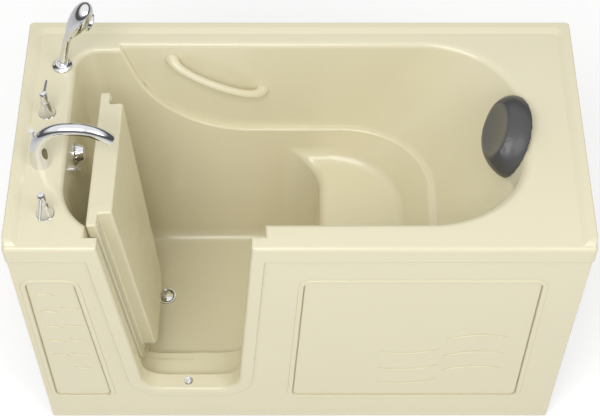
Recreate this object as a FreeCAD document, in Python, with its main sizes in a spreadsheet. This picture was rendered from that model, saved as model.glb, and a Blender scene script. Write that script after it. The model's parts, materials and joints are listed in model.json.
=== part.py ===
import FreeCAD, Part
import math
import os
import re
import Sketcher

# A walk-in soaking tub: a moulded shell with a seat and a footwell, an inward-opening plug door,
# a front apron with two access panels, a steel frame on levelling feet, deck taps and waste fittings.
# X runs along the tub from the foot end to the head end, Y from front to rear, Z up from the floor.

vec = FreeCAD.Vector
doc = FreeCAD.newDocument("walk_in_tub")

# Lengths in millimetres, and the shares that set a slope or a proportion
sizes = {
    "tub_length": 1524.0,
    "tub_depth": 762.0,
    "rim_height": 965.0,
    "overrun": 20.0,
    "seat_gap": 0.3,
    "weld_gap": 0.0002,
    # rim and deck
    "wall": 6.0,
    "lip_rise": 8.0,
    "lip_width": 23.0,
    "lip_round": 3.0,
    "lip_corner": 26.0,
    "skirt_drop": 62.0,
    "nose_round": 12.0,
    "plan_round": 12.0,
    "rim_round": 16.0,
    "rim_ring": 26.0,
    "foot_deck": 140.0,
    "head_deck": 157.0,
    "rear_deck": 79.0,
    "front_deck": 83.0,
    # well, seat and footwell
    "draft_share": 0.06,
    "floor_height": 95.0,
    "seat_share": 0.516062,
    "seat_front_share": 0.040026,
    "seat_overlap": 260.0,
    "backrest_share": 0.625,
    "end_radius_share": 0.358333,
    "foot_radius": 60.0,
    "hinge_corner_radius": 160.0,
    "hinge_corner_run": 50.0,
    "riser_radius": 110.0,
    "seat_cove": 45.0,
    "floor_cove": 40.0,
    "seat_round": 28.0,
    "ledge_width": 18.0,
    "ledge_share": 0.740741,
    "ledge_round": 8.0,
    "swoop_place_share": -0.327428,
    "swoop_share": 0.302,
    "swoop_radius": 340.0,
    # doorway
    "door_margin": 67.0,
    "door_width_share": 0.129921,
    "sill_height": 188.0,
    "taper_share": 0.076,
    "lean_share": 0.022,
    "jamb_depth": 41.0,
    "jamb_corner": 65.0,
    "hinge_side_corner": 20.0,
    "jamb_round": 12.0,
    "rebate_side": 36.0,
    "rebate_sill": 46.0,
    "rebate_run": 150.0,
    "rebate_round": 8.0,
    "frame_wall": 24.0,
    "band_width": 38.0,
    # door leaf and seal
    "flange_thickness": 28.0,
    "plug_thickness": 38.0,
    "side_gap": 3.0,
    "flange_sill_gap": 10.0,
    "plug_gap": 8.0,
    "door_round": 6.0,
    "gasket_width": 14.0,
    "gasket_thickness": 3.0,
    "gasket_inset": 8.0,
    "gasket_drop": 12.0,
    "seal_gap": 0.5,
    "door_drop": 3.0,
    # continuous hinge
    "pin_radius": 2.5,
    "pin_clearance": 0.05,
    "barrel_radius": 5.0,
    "barrel_clearance": 1.5,
    "leaf_thickness": 2.0,
    "leaf_width": 18.0,
    "leaf_gap": 0.5,
    "knuckle_gap": 0.5,
    "hinge_drop": 60.0,
    "hinge_foot_gap": 109.0,
    "pin_head": 3.0,
    "groove_end": 6.0,
    "boss_wall": 6.0,
    # door latch
    "latch_inset": 8.0,
    "latch_share": 0.823529,
    "latch_base_radius": 17.0,
    "latch_base_top": 13.0,
    "latch_lift": 30.0,
    "latch_spindle_depth": 22.0,
    "latch_hub_radius": 12.0,
    "latch_hub_height": 5.0,
    "latch_end_round": 7.0,
    "latch_spindle_radius": 6.0,
    "latch_lever_length": 88.0,
    "latch_lever_width": 20.0,
    "latch_lever_thickness": 7.0,
    "latch_tongue_length": 62.0,
    "latch_round": 2.5,
    "keeper_width": 36.0,
    "keeper_wall": 4.0,
    "keeper_gap": 2.0,
    # apron and access panels
    "apron_thickness": 6.0,
    "apron_side_gap": 5.0,
    "apron_foot_gap": 4.0,
    "apron_tuck": 24.0,
    "apron_clearance": 2.0,
    "panel_drop": 175.0,
    "panel_bottom": 146.0,
    "panel_end_margin": 36.0,
    "panel_head_margin": 119.0,
    "left_panel_share": -0.394357,
    "right_panel_share": 0.009843,
    "panel_taper_share": 0.055,
    "panel_corner": 18.0,
    "panel_gap": 1.5,
    "panel_bevel": 24.0,
    "panel_recess": 3.0,
    "panel_flange": 9.0,
    "panel_flange_thickness": 4.0,
    "panel_thickness": 2.5,
    "stroke_depth": 1.2,
    "stroke_bulge": 11.0,
    "wave_bulge": 22.0,
    "stroke_lens": 7.0,
    "small_stroke_share": 0.416,
    "large_stroke_share": 0.28344,
    "clip_width": 16.0,
    "clip_thickness": 1.5,
    "clip_foot": 12.0,
    "clip_grip": 7.0,
    # steel frame and feet
    "tube_side": 30.0,
    "tube_wall": 2.0,
    "frame_setback": 18.0,
    "rail_height": 40.0,
    "seat_support_share": 0.091864,
    "seat_support_pitch_share": 0.072178,
    "bearer_share": -0.321522,
    "bearer_pitch_share": 0.141076,
    "pad_radius": 20.0,
    "pad_height": 9.0,
    "pad_neck_radius": 11.0,
    "pad_neck_height": 16.0,
    "stud_radius": 5.0,
    "nut_radius": 9.5,
    "nut_height": 8.0,
    # deck taps
    "tap_inset": 78.0,
    "spout_share": -0.136483,
    "tap_pitch_share": 0.216535,
    "handle_bow": 26.0,
    "spout_base_radius": 27.5,
    "spout_base_height": 58.0,
    "spout_tube_radius": 14.0,
    "spout_bore_radius": 10.0,
    "spout_bore_depth": 24.0,
    "spout_rise": 58.0,
    "spout_bend": 84.0,
    "spout_flat": 18.0,
    "spout_drop_bend": 112.0,
    "spout_foot": 4.0,
    "spout_tip": 5.0,
    "shank_radius": 12.0,
    "shank_length": 52.0,
    "shank_nut_radius": 24.0,
    "shank_nut_height": 10.0,
    "diverter_back": 6.0,
    "diverter_top": 128.0,
    "diverter_rod_radius": 2.5,
    "diverter_rod_depth": 40.0,
    "diverter_knob_radius": 7.0,
    "diverter_knob_height": 8.0,
    "bell_radius": 24.0,
    "bell_height": 52.0,
    "bell_top_radius": 11.5,
    "hub_radius": 10.5,
    "hub_height": 34.0,
    "hub_gap": 0.4,
    "lever_length": 62.0,
    "lever_radius": 4.5,
    "lever_tip_radius": 3.5,
    "lever_droop": 15.0,
    "lever_drop": 12.0,
    "spindle_radius": 5.0,
    "spindle_length": 22.0,
    "bell_foot": 2.5,
    "bell_neck": 3.0,
    "hub_crown": 6.0,
    "valve_radius": 11.0,
    "valve_length": 78.0,
    "valve_nut_radius": 21.0,
    "inlet_radius": 10.5,
    "inlet_length": 34.0,
    # hand shower
    "holder_radius": 28.0,
    "holder_rim": 4.0,
    "holder_height": 15.0,
    "holder_top_radius": 17.0,
    "holder_shank_length": 44.0,
    "holder_shank_radius": 15.0,
    "holder_nut_radius": 21.0,
    "holder_nut_height": 8.0,
    "socket_radius": 9.3,
    "socket_clearance": 0.3,
    "socket_depth": 20.0,
    "wand_neck_radius": 10.5,
    "wand_head_width": 31.0,
    "wand_head_thick": 23.0,
    "wand_neck_run": 112.0,
    "wand_head_run": 150.0,
    "spray_radius": 21.0,
    "spray_thickness": 3.0,
    "pod_radius": 25.0,
    "pod_start": 3.0,
    "pod_reach": 31.0,
    "pod_along": 92.0,
    # waste and overflow
    "drain_share": -0.275591,
    "drain_y": 0.0,
    "drain_radius": 30.0,
    "drain_rim": 3.0,
    "drain_bore_radius": 21.0,
    "drain_wall": 2.5,
    "drain_depth": 30.0,
    "plug_radius": 19.5,
    "plug_crown": 7.0,
    "plug_rise": 2.0,
    "plug_stem_radius": 4.0,
    "pipe_radius": 20.0,
    "pipe_wall": 2.5,
    "waste_height": 46.0,
    "waste_bend": 60.0,
    "tail_radius": 19.05,
    "tail_length": 20.0,
    "tail_wall": 2.5,
    "tail_flange": 25.0,
    "tail_flange_height": 3.0,
    "shoe_radius": 32.0,
    "shoe_wall": 6.0,
    "shoe_base": 4.0,
    "collar_height": 10.0,
    "socket_wall": 3.0,
    "socket_run": 26.0,
    "spider_width": 6.0,
    "spider_height": 6.0,
    "spider_hub": 8.0,
    "spider_drop": 16.0,
    "overflow_drop": 100.0,
    "overflow_radius": 34.5,
    "overflow_plate": 5.0,
    "overflow_knob_radius": 27.0,
    "overflow_knob_height": 20.0,
    "overflow_knob_top": 19.0,
    "overflow_spindle_radius": 6.0,
    "overflow_neck_radius": 24.0,
    "overflow_cup_radius": 27.0,
    "overflow_bevel": 3.0,
    "overflow_flute_radius": 5.0,
    "overflow_flute_share": 0.93,
    "overflow_standoff": 46.0,
    "sill_drain_radius": 13.5,
    "sill_drain_bore": 7.5,
    "sill_drain_rim": 2.0,
    "sill_drain_x": -10.0,
    "sill_drain_y": -26.0,
    "sill_spigot_radius": 9.5,
    "sill_spigot_length": 36.0,
    "sill_nut_radius": 16.0,
    "sill_nut_height": 8.0,
    # grab bar and headrest
    "bar_share": -0.236877,
    "bar_high_drop": 58.0,
    "bar_span": 283.0,
    "bar_standoff": 45.0,
    "bar_radius": 12.0,
    "bar_foot_radius": 19.0,
    "bar_foot_height": 20.0,
    "bar_bolt_radius": 4.0,
    "bar_bolt_head": 9.0,
    "bar_bolt_length": 5.0,
    "headrest_y": 10.0,
    "headrest_drop": 42.0,
    "headrest_half_length": 122.0,
    "headrest_radius": 86.0,
    "headrest_dish_depth": 22.0,
    "headrest_dish_half_length": 104.0,
    "headrest_dish_radius": 74.0,
    "headrest_rise": 60.0,
}
angles = {
    "door_open_angle": 90.0,
    "bar_tilt_angle": 27.3,
    "headrest_turn_angle": -14.0,
    "wand_lean_angle": 14.0,
    "wand_head_angle": 29.0,
    "spout_drop_angle": 51.0,
    "left_stroke_angle": 12.0,
    "right_stroke_angle": -5.0,
}
knuckle_count = 9
bearer_count = 3
foot_columns = 3
stroke_rows = 5
wave_rows = 3
flare_steps = 4
flute_count = 12

sheet = doc.addObject("Spreadsheet::Sheet", "Sizes")
for row, (name, value) in enumerate(list(sizes.items()) + list(angles.items()), start=1):
    sheet.set("A%d" % row, name)
    sheet.set("B%d" % row, str(value))
    sheet.setAlias("B%d" % row, name)
doc.recompute()

pieces = []


def size(words):
    return float(sheet.evalExpression(words))


def bound(words):
    return re.sub(r"[a-z_]+", lambda found: "Sizes." + found.group(), words)


def slope_angle(share):
    return math.degrees(math.atan(share))


def turn(axis, degrees):
    return FreeCAD.Rotation(axis, degrees)


def place(x, y, z, rotation=None):
    return FreeCAD.Placement(vec(x, y, z), rotation or FreeCAD.Rotation())


x_axis = vec(1, 0, 0)
y_axis = vec(0, 1, 0)
z_axis = vec(0, 0, 1)

overrun = size("overrun")
wall = size("wall")
deck_z = size("rim_height - lip_rise")
half_length = size("tub_length / 2")
half_depth = size("tub_depth / 2")
draft = size("draft_share")
end_slope = size("backrest_share")

# Levels and places that follow the tub's overall sizes
seat_z = size("rim_height * seat_share")
ledge_z = deck_z - (deck_z - seat_z) * size("ledge_share")
seat_front_x = size("tub_length * seat_front_share")
end_radius = size("(tub_depth - rear_deck - front_deck) * end_radius_share")
door_half = size("(tub_length + 2 * tub_depth) * door_width_share / 2")
door_x = size("foot_deck + door_margin + rebate_side - tub_length / 2") + door_half
sill_drop = deck_z - size("sill_height")
hinge_run = "(rim_height - lip_rise - sill_height - hinge_drop - hinge_foot_gap)"
hinge_length = size(hinge_run)
latch_x = door_half - size("latch_inset")
latch_fall = "((rim_height * (1 - seat_share) - lip_rise) * ledge_share * latch_share)"
latch_drop = size(latch_fall)
panel_low = size("panel_bottom")
panel_top = deck_z - size("panel_drop")
panel_high = panel_top - panel_low
left_panel_x = size("tub_length * left_panel_share")
right_panel_x = size("tub_length * right_panel_share")
panel_foot_x = size("panel_end_margin - tub_length / 2")
panel_head_x = size("tub_length / 2 - panel_head_margin")
drain_x = size("tub_length * drain_share")
drain_y = size("drain_y")

# Sub-part makers

def feature(label, shape, placement=None):
    piece = doc.addObject("Part::Feature", label)
    piece.Shape = shape
    piece.Placement = placement or FreeCAD.Placement()
    pieces.append(piece)
    return piece


def new_body(label, placement):
    body = doc.addObject("PartDesign::Body", label)
    body.Placement = placement
    pieces.append(body)
    return body


def sketch_on(body, role, name):
    plane = [item for item in body.Origin.OriginFeatures if item.Role == role][0]
    sketch = body.newObject("Sketcher::SketchObject", name)
    sketch.AttachmentSupport = [(plane, "")]
    sketch.MapMode = "FlatFace"
    return sketch


def draw(sketch, corners):
    first = sketch.GeometryCount
    count = len(corners)
    points = [vec(size(across), size(up), 0) for across, up in corners]
    for i in range(count):
        sketch.addGeometry(Part.LineSegment(points[i], points[(i + 1) % count]))
    for i in range(count):
        after = first + (i + 1) % count
        sketch.addConstraint(Sketcher.Constraint("Coincident", first + i, 2, after, 1))
    for i in range(count):
        for part, kind, axis in ((0, "DistanceX", -2), (1, "DistanceY", -1)):
            words = corners[i][part]
            if words == "0":
                sketch.addConstraint(Sketcher.Constraint("PointOnObject", first + i, 1, axis))
                continue
            rule = Sketcher.Constraint(kind, -1, 1, first + i, 1, points[i][part])
            index = sketch.addConstraint(rule)
            sketch.setExpression("Constraints[%d]" % index, bound(words))


def turned(label, corners, placement, soften=None):
    # a profile of radius and height, revolved about the upright axis
    body = new_body(label, placement)
    sketch = sketch_on(body, "XZ_Plane", label + "_profile")
    draw(sketch, corners)
    spin = body.newObject("PartDesign::Revolution", label + "_turn")
    spin.Profile = sketch
    spin.ReferenceAxis = (sketch, ["V_Axis"])
    spin.Angle = 360
    if soften:
        doc.recompute()
        round_off = body.newObject("PartDesign::Fillet", label + "_round")
        round_off.Base = (spin, ["Edge1"])
        round_off.UseAllEdges = True
        round_off.setExpression("Radius", bound(soften))
    return body


def rectangle(half_across, half_up):
    return [("-(%s)" % half_across, "-(%s)" % half_up), (half_across, "-(%s)" % half_up),
            (half_across, half_up), ("-(%s)" % half_across, half_up)]


def padded_section(label, outlines, length, placement):
    # outlines in the cross plane, the first one solid and the others open, run along the local Z
    body = new_body(label, placement)
    sketch = sketch_on(body, "XY_Plane", label + "_section")
    for corners in outlines:
        draw(sketch, corners)
    pad = body.newObject("PartDesign::Pad", label + "_run")
    pad.Profile = sketch
    pad.setExpression("Length", bound(length))
    return body


def box_tube(label, length, placement, height="tube_side"):
    outer = rectangle("tube_side / 2", height + " / 2")
    inner = rectangle("tube_side / 2 - tube_wall", height + " / 2 - tube_wall")
    return padded_section(label, [outer, inner], length, placement)


def rounded_wire(points, radii):
    # a closed outline whose corners are eased by arcs
    count = len(points)
    runs = []
    for i in range(count):
        corner = points[i]
        if not radii[i]:
            runs.append((corner, None, corner))
            continue
        back = (points[i - 1] - corner).normalize()
        ahead = (points[(i + 1) % count] - corner).normalize()
        half = back.getAngle(ahead) / 2
        reach = radii[i] / math.tan(half)
        inward = (back + ahead).normalize() * (radii[i] / math.sin(half) - radii[i])
        runs.append((corner + back * reach, corner + inward, corner + ahead * reach))
    edges = []
    for i in range(count):
        start, middle, end = runs[i]
        if middle:
            edges.append(Part.Arc(start, middle, end).toShape())
        following = runs[(i + 1) % count][0]
        if not end.isEqual(following, Part.Precision.confusion()):
            edges.append(Part.LineSegment(end, following).toShape())
    return Part.Wire(edges)


def prism(points, radii, direction):
    return Part.Face(rounded_wire(points, radii)).extrude(direction)


def sharp_prism(points, direction):
    return prism(points, [0] * len(points), direction)


def block(low, high):
    return Part.makeBox(high.x - low.x, high.y - low.y, high.z - low.z, low)


def rounded(shape, radius, wanted):
    edges = [edge for edge in shape.Edges if wanted(edge)]
    return shape.makeFillet(radius, edges).Solids[0]


def is_steep(edge):
    rise = abs(edge.Vertexes[0].Z - edge.Vertexes[-1].Z)
    return 2 * rise > edge.Length


def middle(edge):
    return edge.valueAt((edge.FirstParameter + edge.LastParameter) / 2)


# Where the fittings sit

tap_x = size("tap_inset - tub_length / 2")
bowed_x = tap_x + size("handle_bow")
spout_y = size("tub_depth * spout_share")
tap_pitch = size("tub_depth * tap_pitch_share")
spout_spot = (tap_x, spout_y)
handle_spots = [(tap_x, spout_y + tap_pitch), (bowed_x, spout_y - tap_pitch)]
holder_spot = (bowed_x, spout_y + 2 * tap_pitch)


# The tub shell: wells, rim tray and doorway

def x_left(z, grow):
    return -half_length + size("foot_deck") - grow + draft * (deck_z - z)


def x_head(z, inset, grow):
    along = math.sqrt(1 + end_slope ** 2)
    return half_length - size("head_deck") + (grow - inset) * along - end_slope * (deck_z - z)


def drafted_slab(inset, grow, low, high):
    rear = half_depth - size("rear_deck") - inset + grow
    front = -half_depth + size("front_deck") + inset - grow
    corners = []
    for base, side, z in ((front, 1, low), (rear, -1, low), (rear, -1, high), (front, 1, high)):
        corners.append(vec(-half_length, base + side * draft * (deck_z - z), z))
    return sharp_prism(corners, x_axis * (2 * half_length))


def across(points, radii=None):
    # a side-view outline carried from front to rear
    corners = [vec(x, -half_depth, z) for x, z in points]
    return prism(corners, radii or [0] * len(corners), y_axis * (2 * half_depth))


def footwell(grow, coved=False):
    high = deck_z + overrun
    low = size("floor_height") - grow
    riser = seat_front_x + grow
    outline = [(x_left(high, grow), high), (x_left(low, grow), low),
               (riser - draft * (seat_z - low), low), (riser + draft * (high - seat_z), high)]
    well = across(outline).common(drafted_slab(size("ledge_width"), grow, low, high))
    well = rounded(well, size("foot_radius") + grow,
                   lambda edge: is_steep(edge) and middle(edge).x < 0 < middle(edge).y)
    well = rounded(well, size("hinge_corner_radius") + grow,
                   lambda edge: is_steep(edge) and middle(edge).x < 0
                   and middle(edge).y < -size("foot_radius"))
    well = rounded(well, size("riser_radius") + grow, lambda edge: is_steep(edge) and middle(edge).x > 0)
    if not coved:
        return well
    return rounded(well, size("floor_cove"), lambda edge: edge.BoundBox.ZMax < low + wall / 2)


def hinge_corner(grow, coved=False):
    # the foot-end front corner, which swells forward to meet the doorway
    high = deck_z + overrun
    low = size("floor_height") + size("rebate_sill") - grow
    front = -half_depth + size("front_deck + ledge_width - hinge_corner_run") - grow
    right = door_x
    outline = [(x_left(high, grow), high), (x_left(low, grow), low), (right, low), (right, high)]
    corners = [vec(-half_length, front + draft * (deck_z - low), low), vec(-half_length, 0, low),
               vec(-half_length, 0, high), vec(-half_length, front + draft * (deck_z - high), high)]
    well = across(outline).common(sharp_prism(corners, x_axis * (2 * half_length)))
    well = rounded(well, size("hinge_corner_radius") + grow,
                   lambda edge: is_steep(edge) and middle(edge).x < right - wall and middle(edge).y < -wall)
    if not coved:
        return well
    return rounded(well, size("floor_cove"),
                   lambda edge: edge.BoundBox.ZMax < low + wall / 2 and edge.BoundBox.XMin < right - wall
                   and edge.BoundBox.YMin < -wall)


def seat_well(grow, coved=False):
    high = deck_z + overrun
    low = seat_z - grow
    inset = size("ledge_width")
    start = seat_front_x - size("seat_overlap")
    outline = [(start, high), (start, low),
               (x_head(low, inset, grow), low), (x_head(high, inset, grow), high)]
    well = across(outline).common(drafted_slab(inset, grow, low, high))
    well = rounded(well, end_radius + grow,
                   lambda edge: is_steep(edge) and middle(edge).x > start + wall)
    if not coved:
        return well
    return rounded(well, size("seat_cove"),
                   lambda edge: edge.BoundBox.ZMax < low + wall / 2 and edge.BoundBox.XMax > start + wall)


def upper_well(grow, rise=overrun):
    # the wider well above the armrest line, whose lower edge swoops up to the rim at the foot end
    high = deck_z + rise
    low = ledge_z - grow

    def x_swoop(z):
        return size("tub_length * swoop_place_share") - grow + size("swoop_share") * (deck_z - z)

    outline = [(x_swoop(high), high), (x_swoop(low), low),
               (x_head(low, 0, grow), low), (x_head(high, 0, grow), high)]
    well = across(outline, [0, size("swoop_radius") + grow, 0, 0]).common(drafted_slab(0, grow, low, high))
    return rounded(well, end_radius + size("ledge_width") + grow,
                   lambda edge: is_steep(edge) and middle(edge).x > 0)


def flare(well):
    # the rolled rim of a well: its outline opens out through a quarter round up to the deck
    roll = size("rim_round")
    outlines = []
    for step in range(flare_steps + 1):
        swing = math.pi / 2 * step / flare_steps
        height = deck_z - roll + roll * math.sin(swing)
        outlines.append(well(roll * (1 - math.cos(swing))).slice(z_axis, height)[0])
    mouth = Part.Face(outlines[-1]).extrude(z_axis * overrun)
    return Part.makeLoft(outlines, True, True).fuse(mouth)


def basin(grow):
    return footwell(grow).fuse([hinge_corner(grow), seat_well(grow), upper_well(grow)]).removeSplitter()


def brink_backing():
    # the wall behind the rounded brink of the seat, eased so that it keeps its thickness
    ease = size("seat_round - wall") * (2 - math.sqrt(2))
    high = seat_z - wall
    low = high - ease
    outlines = [footwell(wall).slice(z_axis, low)[0], footwell(wall + ease).slice(z_axis, high)[0]]
    stretch = block(vec(seat_front_x - size("riser_radius"), -half_depth, low),
                    vec(seat_front_x + size("riser_radius"), half_depth, high))
    room = drafted_slab(size("ledge_width"), wall, low, high)
    return Part.makeLoft(outlines, True, True).common(stretch).common(room)


def hollow_basin():
    well = footwell(0, True).fuse([seat_well(0, True)], size("weld_gap")).removeSplitter()
    brink = seat_front_x + wall

    def seat_brink(edge):
        spot = middle(edge)
        if abs(spot.z - seat_z) > wall or edge.BoundBox.ZLength > wall or edge.BoundBox.XMax > brink:
            return False
        return brink - size("riser_radius") - 2 * wall < spot.x < brink

    well = rounded(well, size("seat_round"), seat_brink)
    outer = upper_well(0)
    well = well.fuse(outer).removeSplitter()

    def ledge_brink(edge):
        if edge.BoundBox.ZMin < ledge_z - wall / 2 or edge.BoundBox.ZMax > deck_z:
            return False
        spot = Part.Vertex(middle(edge))
        return all(spot.distToShape(line)[0] > wall for line in outer.Edges)

    well = rounded(well, size("ledge_round"), ledge_brink)
    rims = [flare(footwell), flare(hinge_corner), flare(upper_well)]
    return well.fuse([hinge_corner(0, True)] + rims).removeSplitter()


# The doorway's own frame: across X, square to the drafted shoulder, its Z up the shoulder
door_place = place(door_x, -half_depth + size("jamb_depth"), deck_z,
                   turn(x_axis, slope_angle(size("lean_share"))))
taper = size("taper_share")
stretch = math.sqrt(1 + taper ** 2)
flange_start = size("gasket_thickness + seal_gap")
flange_end = flange_start + size("flange_thickness")

# Frames of the fittings on the drafted walls and on the sill, each with its Z off the surface
overflow_z = deck_z - size("overflow_drop")
overflow_place = place(x_left(overflow_z, 0), 0, overflow_z, turn(y_axis, 90 - slope_angle(draft)))
sill_place = door_place.multiply(place(size("sill_drain_x"), size("sill_drain_y"), -sill_drop))
bar_tilt = math.radians(size("bar_tilt_angle"))
bar_drop = size("bar_high_drop") + size("bar_span") / 2 * math.sin(bar_tilt)
bar_place = place(size("tub_length * bar_share") + size("bar_span") / 2 * math.cos(bar_tilt),
                  half_depth - size("rear_deck") - draft * bar_drop, deck_z - bar_drop,
                  turn(x_axis, 90 - slope_angle(draft)).multiply(turn(z_axis, -size("bar_tilt_angle"))))
back_offset = wall / math.sqrt(1 + draft ** 2)

# The hinge's frame: its Z up the barrel, its X across the closed door
hinge_gap = size("2 * leaf_thickness + leaf_gap")
hinge_local = place((hinge_gap / 2 - size("rebate_side")) * stretch - door_half, flange_end, 0,
                    turn(y_axis, -slope_angle(taper)))
hinge_place = door_place.multiply(hinge_local)
open_leaf = hinge_place.multiply(place(0, 0, 0, turn(z_axis, size("door_open_angle"))))
open_door = open_leaf.multiply(hinge_local.inverse())
hinge_low = -size("hinge_drop") - hinge_length


def doorway(grow_side, grow_sill, corner, low_y, high_y, top, hinge_side=None):
    half = door_half + grow_side * stretch
    drop = sill_drop + grow_sill
    corners = [vec(-half - taper * top, low_y, top), vec(-half + taper * drop, low_y, -drop),
               vec(half - taper * drop, low_y, -drop), vec(half + taper * top, low_y, top)]
    return prism(corners, [0, hinge_side or corner, corner, 0], y_axis * (high_y - low_y))


def in_tub(shape):
    shape = shape.copy()
    shape.Placement = door_place
    return shape


def rim_tray():
    low = deck_z - size("skirt_drop")
    tray = block(vec(-half_length, -half_depth, low), vec(half_length, half_depth, deck_z))
    tray = rounded(tray, size("plan_round"), is_steep)
    tray = rounded(tray, size("nose_round"),
                   lambda edge: edge.BoundBox.ZMin > deck_z - wall / 2
                   and edge.BoundBox.YMax < -half_depth + wall)
    lip_inner = half_length - size("lip_width")
    rear_inner = half_depth - size("lip_width")
    start = -half_depth + size("nose_round")
    base = deck_z - wall / 2
    lip = sharp_prism([vec(-half_length, start, base), vec(half_length, start, base),
                       vec(half_length, half_depth, base), vec(-half_length, half_depth, base)],
                      z_axis * (size("lip_rise") + wall / 2))
    lip = rounded(lip, size("plan_round"), is_steep)
    front = -half_depth - overrun
    pan = prism([vec(-lip_inner, front, base - wall), vec(lip_inner, front, base - wall),
                 vec(lip_inner, rear_inner, base - wall), vec(-lip_inner, rear_inner, base - wall)],
                [0, 0, size("lip_corner"), size("lip_corner")], z_axis * (overrun + 2 * wall))
    lip = lip.cut(pan)
    lip_edges = [edge for edge in lip.Edges if edge.BoundBox.ZMin > deck_z + wall / 2]
    lip = lip.makeChamfer(size("lip_round"), lip_edges)
    under = block(vec(-half_length + wall, -half_depth + wall, low - wall),
                  vec(half_length - wall, half_depth - wall, deck_z - wall))
    under = rounded(under, size("nose_round") - wall / 2, lambda edge: is_steep(edge) or
                    (edge.BoundBox.ZMin > deck_z - 2 * wall and edge.BoundBox.YMax < -half_depth + 2 * wall))
    return tray.fuse(lip).removeSplitter().cut(under)


def front_flare():
    # the doorway's front edge opens out through a quarter round to the face of the band
    roll = size("jamb_round")
    drop = deck_z - door_place.multVec(vec(0, -size("jamb_depth"), -sill_drop)).z
    outlines = []
    for step in range(flare_steps + 1):
        swing = math.pi / 2 * step / flare_steps
        grow = roll * (1 - math.cos(swing))
        depth = roll * (1 - math.sin(swing))
        half = door_half + grow
        low = drop + grow
        corners = [vec(-half - taper * overrun, depth, overrun), vec(-half + taper * low, depth, -low),
                   vec(half - taper * low, depth, -low), vec(half + taper * overrun, depth, overrun)]
        corner = size("jamb_corner") + grow
        outlines.append(rounded_wire(corners, [0, corner, corner, 0]))
    mouth = Part.Face(outlines[-1]).extrude(y_axis * -overrun)
    opened = Part.makeLoft(outlines, True, True).fuse(mouth)
    opened.translate(vec(door_x, -half_depth, deck_z))
    return opened


def deck_flare():
    # the doorway's and the rebate's top edges ease into the deck
    roll = size("rebate_round")
    outlines = []
    for step in range(flare_steps + 1):
        swing = math.pi / 2 * step / flare_steps
        grow = roll * (1 - math.cos(swing))
        height = roll * (math.sin(swing) - 1)
        jamb = door_half + grow + taper * height
        side = jamb + size("rebate_side")
        front = -size("jamb_depth") - overrun
        rear = size("front_deck - jamb_depth")
        plan = [(-jamb, front), (jamb, front), (jamb, -grow), (side, -grow), (side, rear), (-side, rear),
                (-side, -grow), (-jamb, -grow)]
        outlines.append(rounded_wire([vec(x, y, height) for x, y in plan], [0] * len(plan)))
    mouth = Part.Face(outlines[-1]).extrude(z_axis * overrun)
    opened = Part.makeLoft(outlines, True, True).fuse(mouth)
    opened.translate(vec(door_x, -half_depth + size("jamb_depth"), deck_z))
    return opened


def shoulder_edge(edge, grow):
    # an edge of the rebate's shoulder, at the jamb or at the rebate's own wall
    to_door = door_place.inverse()
    spots = [to_door.multVec(vertex.Point) for vertex in edge.Vertexes] + [to_door.multVec(middle(edge))]
    if any(abs(spot.y) > size("seat_gap") for spot in spots) or spots[-1].z > -overrun:
        return False
    half = door_half + taper * spots[-1].z + grow / 2
    outside = abs(spots[-1].x) > half or spots[-1].z < -sill_drop - grow / 2
    return outside == bool(grow > size("seat_gap"))


def hinge_boss():
    # a thicker strip of wall for the barrel's groove
    reach = size("barrel_radius + barrel_clearance + boss_wall")
    end = size("groove_end + boss_wall")
    boss = block(vec(-reach, -reach, hinge_low - end), vec(0, reach, end - size("hinge_drop")))
    boss.Placement = hinge_place
    return boss


def barrel_groove():
    end = size("groove_end")
    return Part.makeCylinder(size("barrel_radius + barrel_clearance"), hinge_length + 2 * end,
                             vec(0, 0, hinge_low - end))


def upright_hole(x, y, radius, low, high):
    return Part.makeCylinder(radius, high - low, vec(x, y, low))


def bored(placement, radius, low, high):
    hole = Part.makeCylinder(radius, high - low, vec(0, 0, low))
    hole.Placement = placement
    return hole


def shell_holes():
    gap = size("seat_gap")
    under = deck_z - wall
    nut_depth = size("rim_ring + wall")
    groove = barrel_groove()
    groove.Placement = hinge_place
    holes = [groove]
    tap_holes = [(spout_spot, "shank_radius", "shank_nut_radius"),
                 (holder_spot, "holder_shank_radius", "holder_nut_radius")]
    tap_holes += [(spot, "valve_radius", "valve_nut_radius") for spot in handle_spots]
    for (x, y), shank, nut in tap_holes:
        holes.append(upright_hole(x, y, size(shank) + gap, under - wall, deck_z + wall))
        holes.append(upright_hole(x, y, size(nut) + gap + wall / 2, under - nut_depth, under))
    floor = size("floor_height")
    holes.append(upright_hole(drain_x, drain_y, size("drain_bore_radius + drain_wall") + gap,
                              floor - 2 * wall, floor + wall))
    holes.append(bored(overflow_place, size("overflow_neck_radius") + gap, -2 * wall, wall))
    holes.append(bored(sill_place, size("sill_spigot_radius") + gap, -size("frame_wall") - wall, wall))
    for end in (-1, 1):
        foot = bar_place.multiply(place(end * size("bar_span") / 2, 0, 0))
        holes.append(bored(foot, size("bar_bolt_radius") + gap, -2 * wall, wall))
    return holes


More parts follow.
